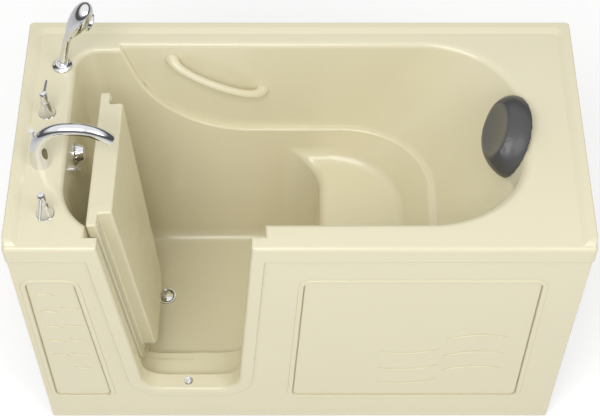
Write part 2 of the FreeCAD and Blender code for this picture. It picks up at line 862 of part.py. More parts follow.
def tub_shell():
    top = deck_z
    tray = rim_tray()
    reach = block(vec(-half_length, -half_depth, 0), vec(half_length, half_depth, top))
    inside = block(vec(-half_length, -half_depth + wall / 2, 0), vec(half_length, half_depth, top - wall / 2))
    ring_grow = size("rim_ring")
    ring_band = block(vec(-half_length, -half_depth, top - ring_grow), vec(half_length, half_depth, top))
    ring = upper_well(ring_grow).fuse([footwell(ring_grow), hinge_corner(ring_grow)]).common(ring_band)
    frame = size("frame_wall")
    side = size("rebate_side")
    sill = size("rebate_sill")
    jamb = size("jamb_depth")
    corner = size("jamb_corner")
    run = size("rebate_run")
    border = size("band_width")
    liner = in_tub(doorway(frame, frame, corner + frame, -jamb - overrun, wall, overrun))
    tight = size("hinge_side_corner")
    pocket = in_tub(doorway(side + wall, sill + wall, corner + side + wall, -wall, run, overrun,
                            tight + wall))
    band = in_tub(doorway(border, border, corner + border, -jamb - overrun, wall, overrun))
    face = block(vec(-half_length, -half_depth, 0),
                 vec(half_length, -half_depth + wall, top - size("nose_round")))
    shell = tray.fuse([basin(wall).common(reach), brink_backing(), ring, liner.common(inside),
                       pocket.common(inside), band.common(face), hinge_boss()])
    shell = shell.cut([hollow_basin(),
                       in_tub(doorway(0, 0, corner, -jamb - 2 * overrun, wall, 2 * overrun)),
                       in_tub(doorway(side, sill, corner + side, 0, run + overrun, 2 * overrun, tight))])
    shell = shell.removeSplitter().Solids[0]
    shell = rounded(shell, size("rebate_round"), lambda edge: shoulder_edge(edge, 0))
    shell = rounded(shell, size("rebate_round"), lambda edge: shoulder_edge(edge, side))
    shell = shell.cut([front_flare(), deck_flare()] + shell_holes())
    return shell.removeSplitter().Solids[0]


# Solids used by several pieces

def lathe(points):
    # a profile of radius and height pairs turned about Z
    outline = [vec(radius, 0, height) for radius, height in points]
    return Part.Face(Part.makePolygon(outline + outline[:1])).revolve(vec(), z_axis, 360)


def route(points, bend):
    # an open path whose corners are eased by arcs of one radius
    edges = []
    last = points[0]
    for i in range(1, len(points) - 1):
        back = (points[i - 1] - points[i]).normalize()
        ahead = (points[i + 1] - points[i]).normalize()
        half = back.getAngle(ahead) / 2
        reach = bend[i - 1] / math.tan(half)
        inward = (back + ahead).normalize() * (bend[i - 1] / math.sin(half) - bend[i - 1])
        start = points[i] + back * reach
        edges.append(Part.LineSegment(last, start).toShape())
        last = points[i] + ahead * reach
        edges.append(Part.Arc(start, points[i] + inward, last).toShape())
    edges.append(Part.LineSegment(last, points[-1]).toShape())
    return Part.Wire(edges)


def rod_along(path, radius):
    start = path.OrderedVertexes[0].Point
    ahead = path.OrderedEdges[0].tangentAt(path.OrderedEdges[0].FirstParameter)
    return path.makePipeShell([Part.Wire(Part.makeCircle(radius, start, ahead))], True, False)


def in_frame(shape, placement):
    shape = shape.copy()
    shape.Placement = placement.multiply(shape.Placement)
    return shape


# Door: leaf, seal, continuous hinge and latch

def door_leaf():
    top = -size("door_drop")
    side = size("rebate_side") - (size("side_gap") + hinge_gap) / 2
    sill = size("rebate_sill - flange_sill_gap")
    gap = size("plug_gap")
    front = flange_start - size("plug_thickness")
    flange = doorway(side, sill, size("jamb_corner") + side, flange_start, flange_end, top)
    flange.translate(x_axis * ((hinge_gap - size("side_gap")) / 2 * stretch))
    plug = doorway(-gap, -gap, size("jamb_corner") - gap, front, flange_end - wall, top)
    flange = rounded(flange, size("door_round"), lambda edge: edge.BoundBox.YMin > flange_end - wall / 2)
    plug = rounded(plug, size("door_round"), lambda edge: edge.BoundBox.YMax < front + wall / 2)
    notch = barrel_groove()
    notch.Placement = hinge_local
    return flange.fuse(plug).removeSplitter().cut(notch).Solids[0]


def door_gasket():
    inset = size("gasket_inset")
    width = size("gasket_width")
    side = size("rebate_side - side_gap") - inset
    sill = size("rebate_sill - flange_sill_gap") - inset
    low = flange_start - size("gasket_thickness")
    top = -size("gasket_drop")
    ring = doorway(side, sill, size("jamb_corner") + side, low, flange_start, top)
    middle_part = doorway(side - width, sill - width, size("jamb_corner") + side - width, low - wall,
                          flange_start + wall, top + wall)
    return ring.cut(middle_part)


def hinge_leaf(side, first):
    run = hinge_length / knuckle_count
    gap = size("knuckle_gap")
    near = side * size("leaf_gap") / 2
    far = near + side * size("leaf_thickness")
    edge = -size("barrel_radius + barrel_clearance")
    low = min(near, far)
    high = max(near, far)
    solids = [block(vec(low, -size("leaf_width"), hinge_low), vec(high, edge, hinge_low + hinge_length))]
    for i in range(first, knuckle_count, 2):
        start = hinge_low + run * i + gap / 2
        solids.append(block(vec(low, edge, start), vec(high, 0, start + run - gap)))
        solids.append(Part.makeCylinder(size("barrel_radius"), run - gap, vec(0, 0, start)))
    bore = Part.makeCylinder(size("pin_radius + pin_clearance"), hinge_length, vec(0, 0, hinge_low))
    return solids[0].fuse(solids[1:]).removeSplitter().cut(bore)


feature("tub_shell", tub_shell())
feature("door_leaf", door_leaf(), open_door)
feature("door_gasket", door_gasket(), open_door)
feature("frame_hinge_leaf", hinge_leaf(-1, 0), hinge_place)
feature("door_hinge_leaf", hinge_leaf(1, 1), open_leaf)
turned("hinge_pin", [("0", "0"), ("pin_radius", "0"), ("pin_radius", hinge_run),
                     ("barrel_radius", hinge_run), ("barrel_radius", hinge_run + " + pin_head"),
                     ("0", hinge_run + " + pin_head")],
       hinge_place.multiply(place(0, 0, hinge_low)))

# the latch turns on a post of the door's inner face, its tongue up when free
latch_place = open_door.multiply(place(latch_x, flange_end, -latch_drop, turn(x_axis, -90)))
turned("latch_base", [("0", "0"), ("latch_base_radius", "0"), ("latch_base_top", "latch_lift - hub_gap"),
                      ("latch_spindle_radius + pin_clearance", "latch_lift - hub_gap"),
                      ("latch_spindle_radius + pin_clearance", "latch_lift - latch_spindle_depth - hub_gap"),
                      ("0", "latch_lift - latch_spindle_depth - hub_gap")], latch_place)


def latch_lever():
    half = size("latch_lever_width / 2")
    thick = size("latch_lever_thickness")
    corner = size("latch_end_round")
    bar = prism([vec(-half, -size("latch_tongue_length"), 0), vec(half, -size("latch_tongue_length"), 0),
                 vec(half, size("latch_lever_length"), 0), vec(-half, size("latch_lever_length"), 0)],
                [corner] * 4, z_axis * thick)
    bar = bar.makeChamfer(size("latch_round"), [edge for edge in bar.Edges if edge.BoundBox.ZMin > thick / 2])
    hub = Part.makeCylinder(size("latch_hub_radius"), thick + size("latch_hub_height"))
    spindle = Part.makeCylinder(size("latch_spindle_radius"), size("latch_spindle_depth"),
                                vec(0, 0, -size("latch_spindle_depth")))
    return bar.fuse([hub, spindle]).removeSplitter()


feature("latch_lever", latch_lever(), latch_place.multiply(place(0, 0, size("latch_lift"))))

# the keeper is a channel on the front wall, open upwards to take the tongue
tongue_off = "(jamb_depth + gasket_thickness + seal_gap + flange_thickness + latch_lift - front_deck" \
    " + (lean_share - draft_share) * " + latch_fall + ")"
lip_in = tongue_off + " + latch_lever_thickness + keeper_gap"
lip_out = lip_in + " + keeper_wall"
trough = "-(latch_lever_width / 2 + keeper_gap)"
trough_base = trough + " - keeper_wall"
mouth = "latch_lever_width / 2"
keeper_normal = vec(0, 1, draft).normalize()
keeper_up = vec(0, -draft, 1).normalize()
keeper_place = FreeCAD.Placement(
    vec(door_x + latch_x + size("latch_tongue_length - keeper_width"),
        -half_depth + size("front_deck") + draft * latch_drop, deck_z - latch_drop),
    FreeCAD.Rotation(keeper_normal, keeper_up, x_axis, "XYZ"))
channel = [("0", trough_base), (lip_out, trough_base), (lip_out, mouth), (lip_in, mouth), (lip_in, trough),
           ("keeper_wall", trough), ("keeper_wall", mouth), ("0", mouth)]
padded_section("latch_keeper", [channel], "keeper_width", keeper_place)


# Front apron, its access panels and their clips

apron_front = -half_depth + wall
apron_back = apron_front + size("apron_thickness")


def panel_outline(side, grow, y):
    low = panel_low - grow
    high = panel_top + grow
    lean = size("panel_taper_share") * (high - low)
    if side < 0:
        outer = panel_foot_x - grow
        inner = left_panel_x + grow
        corners = [(outer, low), (inner + lean, low), (inner, high), (outer, high)]
    else:
        inner = right_panel_x - grow
        outer = panel_head_x + grow
        corners = [(inner - lean, low), (outer, low), (outer, high), (inner, high)]
    return rounded_wire([vec(x, y, z) for x, z in corners], [size("panel_corner") + grow] * 4)


def front_apron():
    low = size("apron_foot_gap")
    skirt = deck_z - size("skirt_drop")
    wide = half_length - size("apron_side_gap")
    narrow = half_length - wall - size("nose_round")
    tuck = skirt + size("apron_tuck")
    outline = [(-wide, low), (wide, low), (wide, skirt), (narrow, skirt), (narrow, tuck), (-narrow, tuck),
               (-narrow, skirt), (-wide, skirt)]
    plate = sharp_prism([vec(x, apron_front, z) for x, z in outline], y_axis * size("apron_thickness"))
    grow = size("frame_wall + apron_clearance")
    cuts = [in_tub(doorway(grow, grow, size("jamb_corner") + grow, -size("jamb_depth") - overrun, wall,
                           overrun))]
    bed = apron_front + size("panel_recess")
    for side in (-1, 1):
        cuts.append(Part.makeLoft([panel_outline(side, size("panel_bevel"), apron_front),
                                   panel_outline(side, size("panel_gap"), bed)], True, True))
        cuts.append(Part.Face(panel_outline(side, size("panel_gap"), bed)).extrude(y_axis * overrun))
    return plate.cut(cuts)


def crescent(x, z, length, tilt, bulge):
    # a shallow moulded stroke between two arcs
    half = length / 2
    lens = size("stroke_lens")
    ends = [vec(-half, 0, 0), vec(half, 0, 0)]
    arcs = [Part.Arc(ends[0], vec(0, 0, bulge), ends[1]).toShape(),
            Part.Arc(ends[1], vec(0, 0, bulge - lens), ends[0]).toShape()]
    stroke = Part.Face(Part.Wire(arcs)).extrude(y_axis * size("stroke_depth"))
    stroke.Placement = place(x, panel_front, z, turn(y_axis, tilt))
    return stroke


panel_front = apron_back - size("panel_thickness")
left_row_shares = [0.10, 0.245, 0.375, 0.50, 0.63]
left_column_shares = [0.34, 0.80]
right_row_shares = [0.47, 0.62, 0.755]
right_column_shares = [0.77, 0.47]
row_step_share = 0.105


def strokes_on(start, width, columns, rows, length, tilt, bulge):
    # a bulging stroke in the first column of each row, and a hollow one lower down in the second
    strokes = []
    for share in rows:
        z = panel_top - share * panel_high
        strokes.append(crescent(start + width * columns[0], z, length, tilt, bulge))
        z -= row_step_share * panel_high
        strokes.append(crescent(start + width * columns[1], z, length, tilt, size("stroke_lens") - bulge))
    return strokes


def access_panel(side):
    plate = Part.Face(panel_outline(side, 0, panel_front)).extrude(y_axis * size("panel_thickness"))
    back = Part.Face(panel_outline(side, size("panel_flange"), apron_back)).extrude(
        y_axis * size("panel_flange_thickness"))
    if side < 0:
        width = left_panel_x - panel_foot_x
        length = width * size("small_stroke_share")
        strokes = strokes_on(panel_foot_x, width, left_column_shares, left_row_shares, length,
                             size("left_stroke_angle"), size("stroke_bulge"))
    else:
        width = panel_head_x - right_panel_x
        length = width * size("large_stroke_share")
        strokes = strokes_on(right_panel_x, width, right_column_shares, right_row_shares, length,
                             size("right_stroke_angle"), size("wave_bulge"))
    return plate.fuse(back).removeSplitter().cut(strokes)


clip_place_shares = [0.25, 0.75]


def panel_clips():
    grip = size("clip_grip")
    foot = size("clip_foot")
    flange = size("panel_flange")
    gap = size("apron_clearance")
    back = apron_back + size("panel_flange_thickness")
    clips = []
    for side in (-1, 1):
        box = panel_outline(side, 0, 0).BoundBox
        for share in clip_place_shares:
            x = box.XMin + box.XLength * share - size("clip_width") / 2
            for up, edge in ((1, box.ZMax + flange), (-1, box.ZMin - flange)):
                near = edge - up * grip
                start = edge + up * gap
                end = start + up * foot
                base = block(vec(x, apron_back, min(start, end)),
                             vec(x + size("clip_width"), back, max(start, end)))
                tongue = block(vec(x, back, min(near, end)),
                               vec(x + size("clip_width"), back + size("clip_thickness"), max(near, end)))
                clips.append(base.fuse(tongue).removeSplitter())
    return Part.makeCompound(clips)


feature("front_apron", front_apron())
feature("left_access_panel", access_panel(-1))
feature("right_access_panel", access_panel(1))
feature("panel_clips", panel_clips())

# Steel frame and levelling feet

along_x = turn(y_axis, 90)
along_y = turn(x_axis, -90)
tube = size("tube_side")
post_x = half_length - size("frame_setback") - tube / 2
post_y = half_depth - size("frame_setback") - tube / 2
rail_z = size("rail_height") + tube / 2
rail_top = size("rail_height") + tube
for name, side in (("front_rail", -1), ("rear_rail", 1)):
    box_tube(name, "tub_length - 2 * frame_setback",
             place(-post_x - tube / 2, side * post_y, rail_z, along_x))
for name, side in (("left_rail", -1), ("right_rail", 1)):
    box_tube(name, "tub_depth - 2 * frame_setback - 2 * tube_side",
             place(side * post_x, -post_y + tube / 2, rail_z, along_y))
for name, x, y in (("front_left_post", -1, -1), ("rear_left_post", -1, 1), ("front_right_post", 1, -1),
                   ("rear_right_post", 1, 1)):
    box_tube(name, "rim_height - lip_rise - wall - rail_height - tube_side",
             place(x * post_x, y * post_y, rail_top))
for i in range(bearer_count):
    box_tube("floor_bearer_%d" % (i + 1), "tub_depth - 2 * frame_setback",
             place(size("tub_length * bearer_share") + size("tub_length * bearer_pitch_share") * i,
                   -post_y - tube / 2,
                   (size("floor_height") - wall + rail_top) / 2, along_y),
             "(floor_height - wall - rail_height - tube_side)")


def seat_support(x):
    # a cross tube under the seat on two legs that stand on the rails
    top = seat_z - wall
    half = tube / 2

    def hollow(low, high, axis):
        thin = vec(size("tube_wall"), size("tube_wall"), size("tube_wall"))
        thin[axis] = 0
        return block(low, high).cut(block(low + thin, high - thin))

    cross = hollow(vec(x - half, -post_y - half, top - tube), vec(x + half, post_y + half, top), 1)
    legs = [hollow(vec(x - half, y - half, rail_top), vec(x + half, y + half, top - tube), 2)
            for y in (-post_y, post_y)]
    return cross.fuse(legs)


support_x = size("tub_length * seat_support_share")
feature("front_seat_support", seat_support(support_x))
feature("rear_seat_support", seat_support(support_x + size("tub_length * seat_support_pitch_share")))


def at_feet(solid):
    spots = []
    for i in range(foot_columns):
        x = -post_x + 2 * post_x * i / (foot_columns - 1)
        for y in (-post_y, post_y):
            spots.append(in_frame(solid, place(x, y, 0)))
    return Part.makeCompound(spots)


neck = size("pad_neck_radius")
stud = size("stud_radius")
pad = size("pad_radius")
stud_top = size("rail_height")
neck_top = size("pad_neck_height")
foot_profile = [(0, 0), (pad, 0), (pad, size("pad_height / 2")), (neck, size("pad_height")), (neck, neck_top),
                (stud, neck_top), (stud, stud_top), (0, stud_top)]
feature("levelling_feet", at_feet(lathe(foot_profile)))
hexagon = [turn(z_axis, corner).multVec(vec(size("nut_radius"), 0, size("rail_height - nut_height")))
           for corner in range(0, 360, 60)]
stud_hole = Part.makeCylinder(stud + size("pin_clearance"), size("rail_height"))
feature("foot_nuts", at_feet(sharp_prism(hexagon, z_axis * size("nut_height")).cut(stud_hole)))

# Deck taps

def spout():
    rise = size("spout_rise + spout_bend")
    turn_down = math.radians(size("spout_drop_angle"))
    reach = size("spout_drop_bend") * math.tan(turn_down / 2)
    crest = size("spout_bend + spout_flat") + reach
    along = vec(math.cos(turn_down), 0, -math.sin(turn_down))
    end = vec(crest, 0, rise) + along * (reach + size("spout_tip"))
    path = route([vec(), vec(0, 0, rise), vec(crest, 0, rise), end],
                 [size("spout_bend"), size("spout_drop_bend")])
    tube_r = size("spout_tube_radius")
    foot = size("spout_foot")
    base = lathe([(0, 0), (size("spout_base_radius"), 0), (size("spout_base_radius"), foot),
                  (tube_r + foot, size("spout_base_height") - foot), (tube_r, size("spout_base_height")),
                  (0, size("spout_base_height"))])
    bore = Part.makeCylinder(size("spout_bore_radius"), size("spout_bore_depth + overrun"),
                             end - along * size("spout_bore_depth"), along)
    rod = Part.makeCylinder(size("diverter_rod_radius + pin_clearance"), size("diverter_top"),
                            vec(-size("diverter_back"), 0, size("diverter_top - 2 * diverter_rod_depth")))
    return rod_along(path, tube_r).fuse(base).removeSplitter().cut([bore, rod])


spout_place = place(spout_spot[0], spout_spot[1], deck_z)
feature("spout", spout(), spout_place)
nut_low = "-(wall + shank_nut_height)"
turned("spout_shank", [("0", "0"), ("shank_radius", "0"), ("shank_radius", "-wall"),
                       ("shank_nut_radius", "-wall"), ("shank_nut_radius", nut_low),
                       ("shank_radius", nut_low), ("shank_radius", "-shank_length"), ("0", "-shank_length")],
       spout_place)
turned("diverter_knob", [("0", "0"), ("diverter_rod_radius", "0"),
                         ("diverter_rod_radius", "2 * diverter_rod_depth"),
                         ("diverter_knob_radius", "2 * diverter_rod_depth + diverter_knob_height / 3"),
                         ("diverter_knob_radius", "2 * diverter_rod_depth + diverter_knob_height"),
                         ("0", "2 * diverter_rod_depth + diverter_knob_height")],
       spout_place.multiply(place(-size("diverter_back"), 0, size("diverter_top - 2 * diverter_rod_depth"))))


def tap_lever(side):
    hub = size("hub_radius")
    gap = size("hub_gap")
    top = gap + size("hub_height")
    shaft = size("spindle_radius")
    crown = size("hub_crown")
    body = lathe([(0, -size("spindle_length")), (shaft, -size("spindle_length")), (shaft, gap), (hub, gap),
                  (hub, top - crown), (hub - crown / 2, top - crown / 4), (0, top)])
    start = vec(0, 0, top - size("lever_drop"))
    along = vec(0, side * size("lever_length"), -size("lever_droop"))
    arm = Part.makeCone(size("lever_radius"), size("lever_tip_radius"), along.Length, start, along)
    tip = Part.makeSphere(size("lever_tip_radius"), start + along)
    return body.fuse([arm, tip]).removeSplitter()


spindle_bore = "spindle_radius + pin_clearance"
inlet_end = "-(valve_length + inlet_length)"
for name, side, (x, y) in (("rear", 1, handle_spots[0]), ("front", -1, handle_spots[1])):
    spot = place(x, y, deck_z)
    turned(name + "_handle_base",
           [(spindle_bore, "0"), ("bell_radius", "0"), ("bell_radius", "bell_foot"),
            ("bell_top_radius + bell_neck", "bell_height - 2 * bell_neck"),
            ("bell_top_radius", "bell_height"), (spindle_bore, "bell_height")], spot)
    turned(name + "_valve",
           [("0", "0"), ("valve_radius", "0"), ("valve_radius", "-wall"), ("valve_nut_radius", "-wall"),
            ("valve_nut_radius", nut_low), ("valve_radius", nut_low),
            ("valve_radius", "-valve_length"), ("inlet_radius", "-valve_length"),
            ("inlet_radius", inlet_end), ("0", inlet_end)], spot)
    feature(name + "_lever", tap_lever(side), place(x, y, deck_z + size("bell_height")))

# Hand shower and its holder

holder_place = place(holder_spot[0], holder_spot[1], deck_z)
wand_lean = turn(y_axis, size("wand_lean_angle"))
socket_mid = size("holder_height - socket_depth / 2")
wand_place = holder_place.multiply(place(0, 0, socket_mid, wand_lean))


def shower_holder():
    shank = size("holder_shank_radius")
    nut = size("holder_nut_radius")
    low = -wall - size("holder_nut_height")
    deep = -size("holder_shank_length")
    foot = size("holder_radius")
    body = lathe([(0, deep), (shank, deep), (shank, low), (nut, low), (nut, -wall), (shank, -wall),
                  (shank, 0), (foot, 0), (foot, size("holder_rim")),
                  (size("holder_top_radius"), size("holder_height")), (0, size("holder_height"))])
    socket = Part.makeCylinder(size("socket_radius + socket_clearance"), size("socket_depth + overrun"),
                               vec(0, 0, -size("socket_depth / 2")))
    socket.Placement = place(0, 0, socket_mid, wand_lean)
    return body.cut(socket)


wand_along_shares = [0.0, 0.25, 0.62, 0.90, 1.0]
wand_width_shares = [0.42, 0.62, 1.0, 0.86, 0.45]
wand_bend = turn(y_axis, size("wand_head_angle - wand_lean_angle"))
head_place = place(0, 0, size("wand_neck_run"), wand_bend)


def wand_head():
    outlines = []
    for along, width in zip(wand_along_shares, wand_width_shares):
        ring = Part.Ellipse(vec(), size("wand_head_width") * width, size("wand_head_thick") * width).toShape()
        ring.Placement = head_place.multiply(place(0, 0, along * size("wand_head_run"), turn(z_axis, 90)))
        outlines.append(Part.Wire(ring))
    return Part.makeLoft(outlines, True, False)


def hand_shower():
    low = size("socket_clearance - socket_depth / 2")
    foot = size("socket_radius")
    neck_r = size("wand_neck_radius")
    stem = lathe([(0, low), (foot, low), (foot, size("socket_depth")), (neck_r, size("wand_neck_run / 2")),
                  (neck_r, size("wand_neck_run")), (0, size("wand_neck_run"))])
    elbow = Part.makeSphere(neck_r, vec(0, 0, size("wand_neck_run")))
    pod = Part.makeCylinder(size("pod_radius"), size("pod_reach - pod_start"), vec(0, 0, size("pod_start")))
    pod = in_frame(pod, pod_place)
    return stem.fuse([elbow, wand_head(), pod]).removeSplitter()


pod_place = head_place.multiply(place(0, 0, size("pod_along"), turn(y_axis, 90)))
feature("shower_holder", shower_holder(), holder_place)
feature("hand_shower", hand_shower(), wand_place)
turned("spray_face", [("0", "0"), ("spray_radius", "0"), ("spray_radius", "spray_thickness / 2"),
                      ("spray_radius - spray_thickness", "spray_thickness"), ("0", "spray_thickness")],
       wand_place.multiply(pod_place).multiply(place(0, 0, size("pod_reach"))))

# Waste and overflow

drain_place = place(drain_x, drain_y, size("floor_height"))


def drain_flange():
    bore = size("drain_bore_radius")
    outer = size("drain_bore_radius + drain_wall")
    low = -size("drain_depth")
    rim = size("drain_rim")
    body = lathe([(bore, low), (outer, low), (outer, 0), (size("drain_radius"), 0),
                  (size("drain_radius") - rim / 2, rim), (bore + rim, rim), (bore, 0)])
    half = size("spider_width / 2")
    deep = -size("spider_drop")
    bar = block(vec(-bore - size("drain_wall / 2"), -half, deep - size("spider_height")),
                vec(bore + size("drain_wall / 2"), half, deep))
    hub = Part.makeCylinder(size("spider_hub"), size("spider_height"),
                            vec(0, 0, deep - size("spider_height")))
    hole = Part.makeCylinder(size("plug_stem_radius + pin_clearance"), size("drain_depth"), vec(0, 0, low))
    return body.fuse([bar, hub]).removeSplitter().cut(hole)


def drain_shoe():
    under = size("floor_height") - wall
    base = size("waste_height") - size("pipe_radius + shoe_base")
    inner = size("shoe_radius - shoe_wall")
    collar = size("drain_bore_radius + drain_wall + seat_gap")
    mouth = size("tail_radius - tail_wall")
    step = under - size("collar_height")
    body = lathe([(mouth, base), (size("shoe_radius"), base), (size("shoe_radius"), under), (collar, under),
                  (collar, step), (inner, step), (inner, base + size("shoe_base / 2")),
                  (mouth, base + size("shoe_base / 2"))])
    inlet = Part.makeCylinder(size("pipe_radius + seat_gap"), size("shoe_radius + overrun"),
                              vec(0, 0, size("waste_height")), x_axis * -1)
    return body.cut(inlet)


def pipe(path):
    return rod_along(path, size("pipe_radius")).cut(rod_along(path, size("pipe_radius - pipe_wall")))


riser_x = x_left(overflow_z, 0) - size("overflow_standoff")
riser_low = size("waste_height + waste_bend")
riser_high = overflow_z - size("overflow_cup_radius")


def waste_pipe():
    start = vec(riser_x, drain_y, riser_low)
    corner = vec(riser_x, drain_y, size("waste_height"))
    end = vec(drain_x - size("shoe_radius - shoe_wall / 2"), drain_y, size("waste_height"))
    run = pipe(route([start, corner, end], [size("waste_bend - pipe_wall")]))
    inner = size("pipe_radius")
    outer = size("pipe_radius + socket_wall")
    loose = size("pipe_radius + seat_gap")
    reach = size("socket_run / 2")
    sleeve = lathe([(inner, -reach), (outer, -reach), (outer, reach), (loose, reach), (loose, 0), (inner, 0)])
    return run.fuse(in_frame(sleeve, place(start.x, start.y, start.z))).removeSplitter()


def overflow_elbow():
    cup = size("overflow_cup_radius")
    neck_r = size("overflow_neck_radius")
    thin = size("pipe_wall")
    back = -size("overflow_standoff") - size("pipe_radius + socket_wall")
    body = lathe([(neck_r - thin, 0), (neck_r, 0), (neck_r, -back_offset), (cup, -back_offset), (cup, back),
                  (0, back), (0, back + thin), (neck_r - thin, back + thin)])
    body = in_frame(body, overflow_place)
    outer = size("pipe_radius + socket_wall")
    drop = riser_high - size("socket_run") / 2
    socket = Part.makeCylinder(outer, overflow_z - drop, vec(riser_x, 0, drop))
    hollow = Part.makeCylinder(neck_r - thin, -back - thin, vec(0, 0, back + thin))
    hollow = in_frame(hollow, overflow_place)
    channel = Part.makeCylinder(size("pipe_radius - pipe_wall"), overflow_z - drop, vec(riser_x, 0, drop))
    seat = Part.makeCylinder(size("pipe_radius + seat_gap"), riser_high - drop, vec(riser_x, 0, drop))
    return body.fuse(socket).removeSplitter().cut([hollow, channel, seat])


feature("drain_flange", drain_flange(), drain_place)
stem_end = "-(spider_drop + spider_height + plug_rise)"
turned("drain_plug", [("0", stem_end), ("plug_stem_radius", stem_end), ("plug_stem_radius", "-plug_crown"),
                      ("plug_radius", "-plug_crown"), ("plug_radius", "0"), ("plug_radius / 2", "drain_rim"),
                      ("0", "drain_rim + plug_rise / 2")], drain_place)
feature("drain_shoe", drain_shoe(), place(drain_x, drain_y, 0))
feature("waste_pipe", waste_pipe())
riser = Part.LineSegment(vec(riser_x, drain_y, riser_low), vec(riser_x, drain_y, riser_high)).toShape()
feature("overflow_pipe", pipe(Part.Wire(riser)))
feature("overflow_elbow", overflow_elbow())
tail_place = place(drain_x, drain_y, size("waste_height - pipe_radius - shoe_base"))
turned("tailpiece", [("tail_radius - tail_wall", "0"), ("tail_flange", "0"),
                     ("tail_flange", "-tail_flange_height"),
                     ("tail_radius", "-tail_flange_height"), ("tail_radius", "-tail_length"),
                     ("tail_radius - tail_wall", "-tail_length")], tail_place)
plate_bore = "overflow_spindle_radius + pin_clearance"
turned("overflow_plate", [(plate_bore, "0"), ("overflow_radius", "0"),
                          ("overflow_radius", "overflow_plate / 2"),
                          ("overflow_radius - overflow_bevel", "overflow_plate"),
                          (plate_bore, "overflow_plate")], overflow_place)


def overflow_knob():
    # a fluted knob whose spindle passes the plate
    gap = size("hub_gap")
    low = size("overflow_plate") + gap
    high = low + size("overflow_knob_height")
    shaft = size("overflow_spindle_radius")
    body = lathe([(0, -wall), (shaft, -wall), (shaft, low), (size("overflow_knob_radius"), low),
                  (size("overflow_knob_top"), high), (0, high)])
    flutes = []
    for i in range(flute_count):
        a = 2 * math.pi * i / flute_count
        reach = size("overflow_knob_radius + overflow_flute_radius") * size("overflow_flute_share")
        flutes.append(Part.makeCylinder(size("overflow_flute_radius"), size("overflow_knob_height"),
                                        vec(reach * math.cos(a), reach * math.sin(a), low)))
    return body.cut(flutes)


feature("overflow_knob", overflow_knob(), overflow_place)
turned("sill_drain", [("sill_drain_bore", "sill_drain_rim / 2"), ("sill_drain_bore", "-sill_spigot_length"),
                      ("sill_spigot_radius", "-sill_spigot_length"), ("sill_spigot_radius", "0"),
                      ("sill_drain_radius", "0"), ("sill_drain_radius - sill_drain_rim", "sill_drain_rim")],
       sill_place)
nut_bore = "sill_spigot_radius + pin_clearance"
turned("sill_drain_nut", [(nut_bore, "0"), ("sill_nut_radius", "0"), ("sill_nut_radius", "-sill_nut_height"),
                          (nut_bore, "-sill_nut_height")],
       sill_place.multiply(place(0, 0, -size("frame_wall"))))


# Grab bar and headrest

def grab_bar():
    # a bowed bar with flared feet; local Z is off the wall
    half = size("bar_span / 2")
    out = size("bar_standoff")
    low = -size("bar_radius")
    bow = Part.Arc(vec(-half, 0, low), vec(0, 0, out), vec(half, 0, low)).toShape()
    feet = [Part.makeCone(size("bar_foot_radius"), size("bar_radius"), size("bar_foot_height"), vec(x, 0, 0))
            for x in (-half, half)]
    room = block(vec(-2 * half, -out, 0), vec(2 * half, out, 2 * out))
    return rod_along(Part.Wire(bow), size("bar_radius")).fuse(feet).removeSplitter().common(room)


def grab_bar_bolts():
    back = -back_offset
    head = back - size("bar_bolt_length")
    shank = size("bar_bolt_radius")
    wide = size("bar_bolt_head")
    bolt = lathe([(0, 0), (shank, 0), (shank, back), (wide, back), (wide, head), (0, head)])
    return Part.makeCompound([in_frame(bolt, place(end * size("bar_span") / 2, 0, 0)) for end in (-1, 1)])


def spheroid(half_run, radius):
    # a half ellipse turned about its long axis, which lies along Y
    arc = Part.ArcOfEllipse(Part.Ellipse(vec(), half_run, radius), 0, math.pi).toShape()
    base = Part.LineSegment(vec(-half_run, 0, 0), vec(half_run, 0, 0)).toShape()
    solid = Part.Face(Part.Wire([arc, base])).revolve(vec(), x_axis, 360)
    return in_frame(solid, place(0, 0, 0, turn(z_axis, 90)))


def headrest():
    # a rounded pad against the backrest, dished for the head; local Z is off the backrest
    drop = size("headrest_drop")
    spot = vec(x_head(deck_z - drop, 0, 0), size("headrest_y"), deck_z - drop)
    lie = turn(y_axis, slope_angle(end_slope) - 90).multiply(turn(z_axis, size("headrest_turn_angle")))
    frame = FreeCAD.Placement(spot, lie)
    pad = in_frame(spheroid(size("headrest_half_length"), size("headrest_radius")), frame)
    dish_out = size("headrest_radius + headrest_dish_radius - headrest_dish_depth")
    dish = spheroid(size("headrest_dish_half_length"), size("headrest_dish_radius"))
    dish = in_frame(dish, frame.multiply(place(0, 0, dish_out)))
    return pad.common(upper_well(-size("seat_gap"), size("headrest_rise + overrun"))).cut(dish)


feature("grab_bar", grab_bar(), bar_place)
feature("grab_bar_bolts", grab_bar_bolts(), bar_place)
feature("headrest", headrest())

doc.recompute()
for item in doc.Objects:
    if "Invalid" in item.State or "Error" in item.State:
        raise RuntimeError("%s did not build" % item.Label)
os.makedirs("parts", exist_ok=True)
for piece in pieces:
    if piece.Shape.isNull() or not piece.Shape.isValid():
        raise RuntimeError("%s has no sound shape" % piece.Label)
    piece.Shape.exportStep("parts/%s.step" % piece.Label)
print("pieces", len(pieces))
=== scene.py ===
import bpy
import json
import math
from mathutils import Matrix, Vector

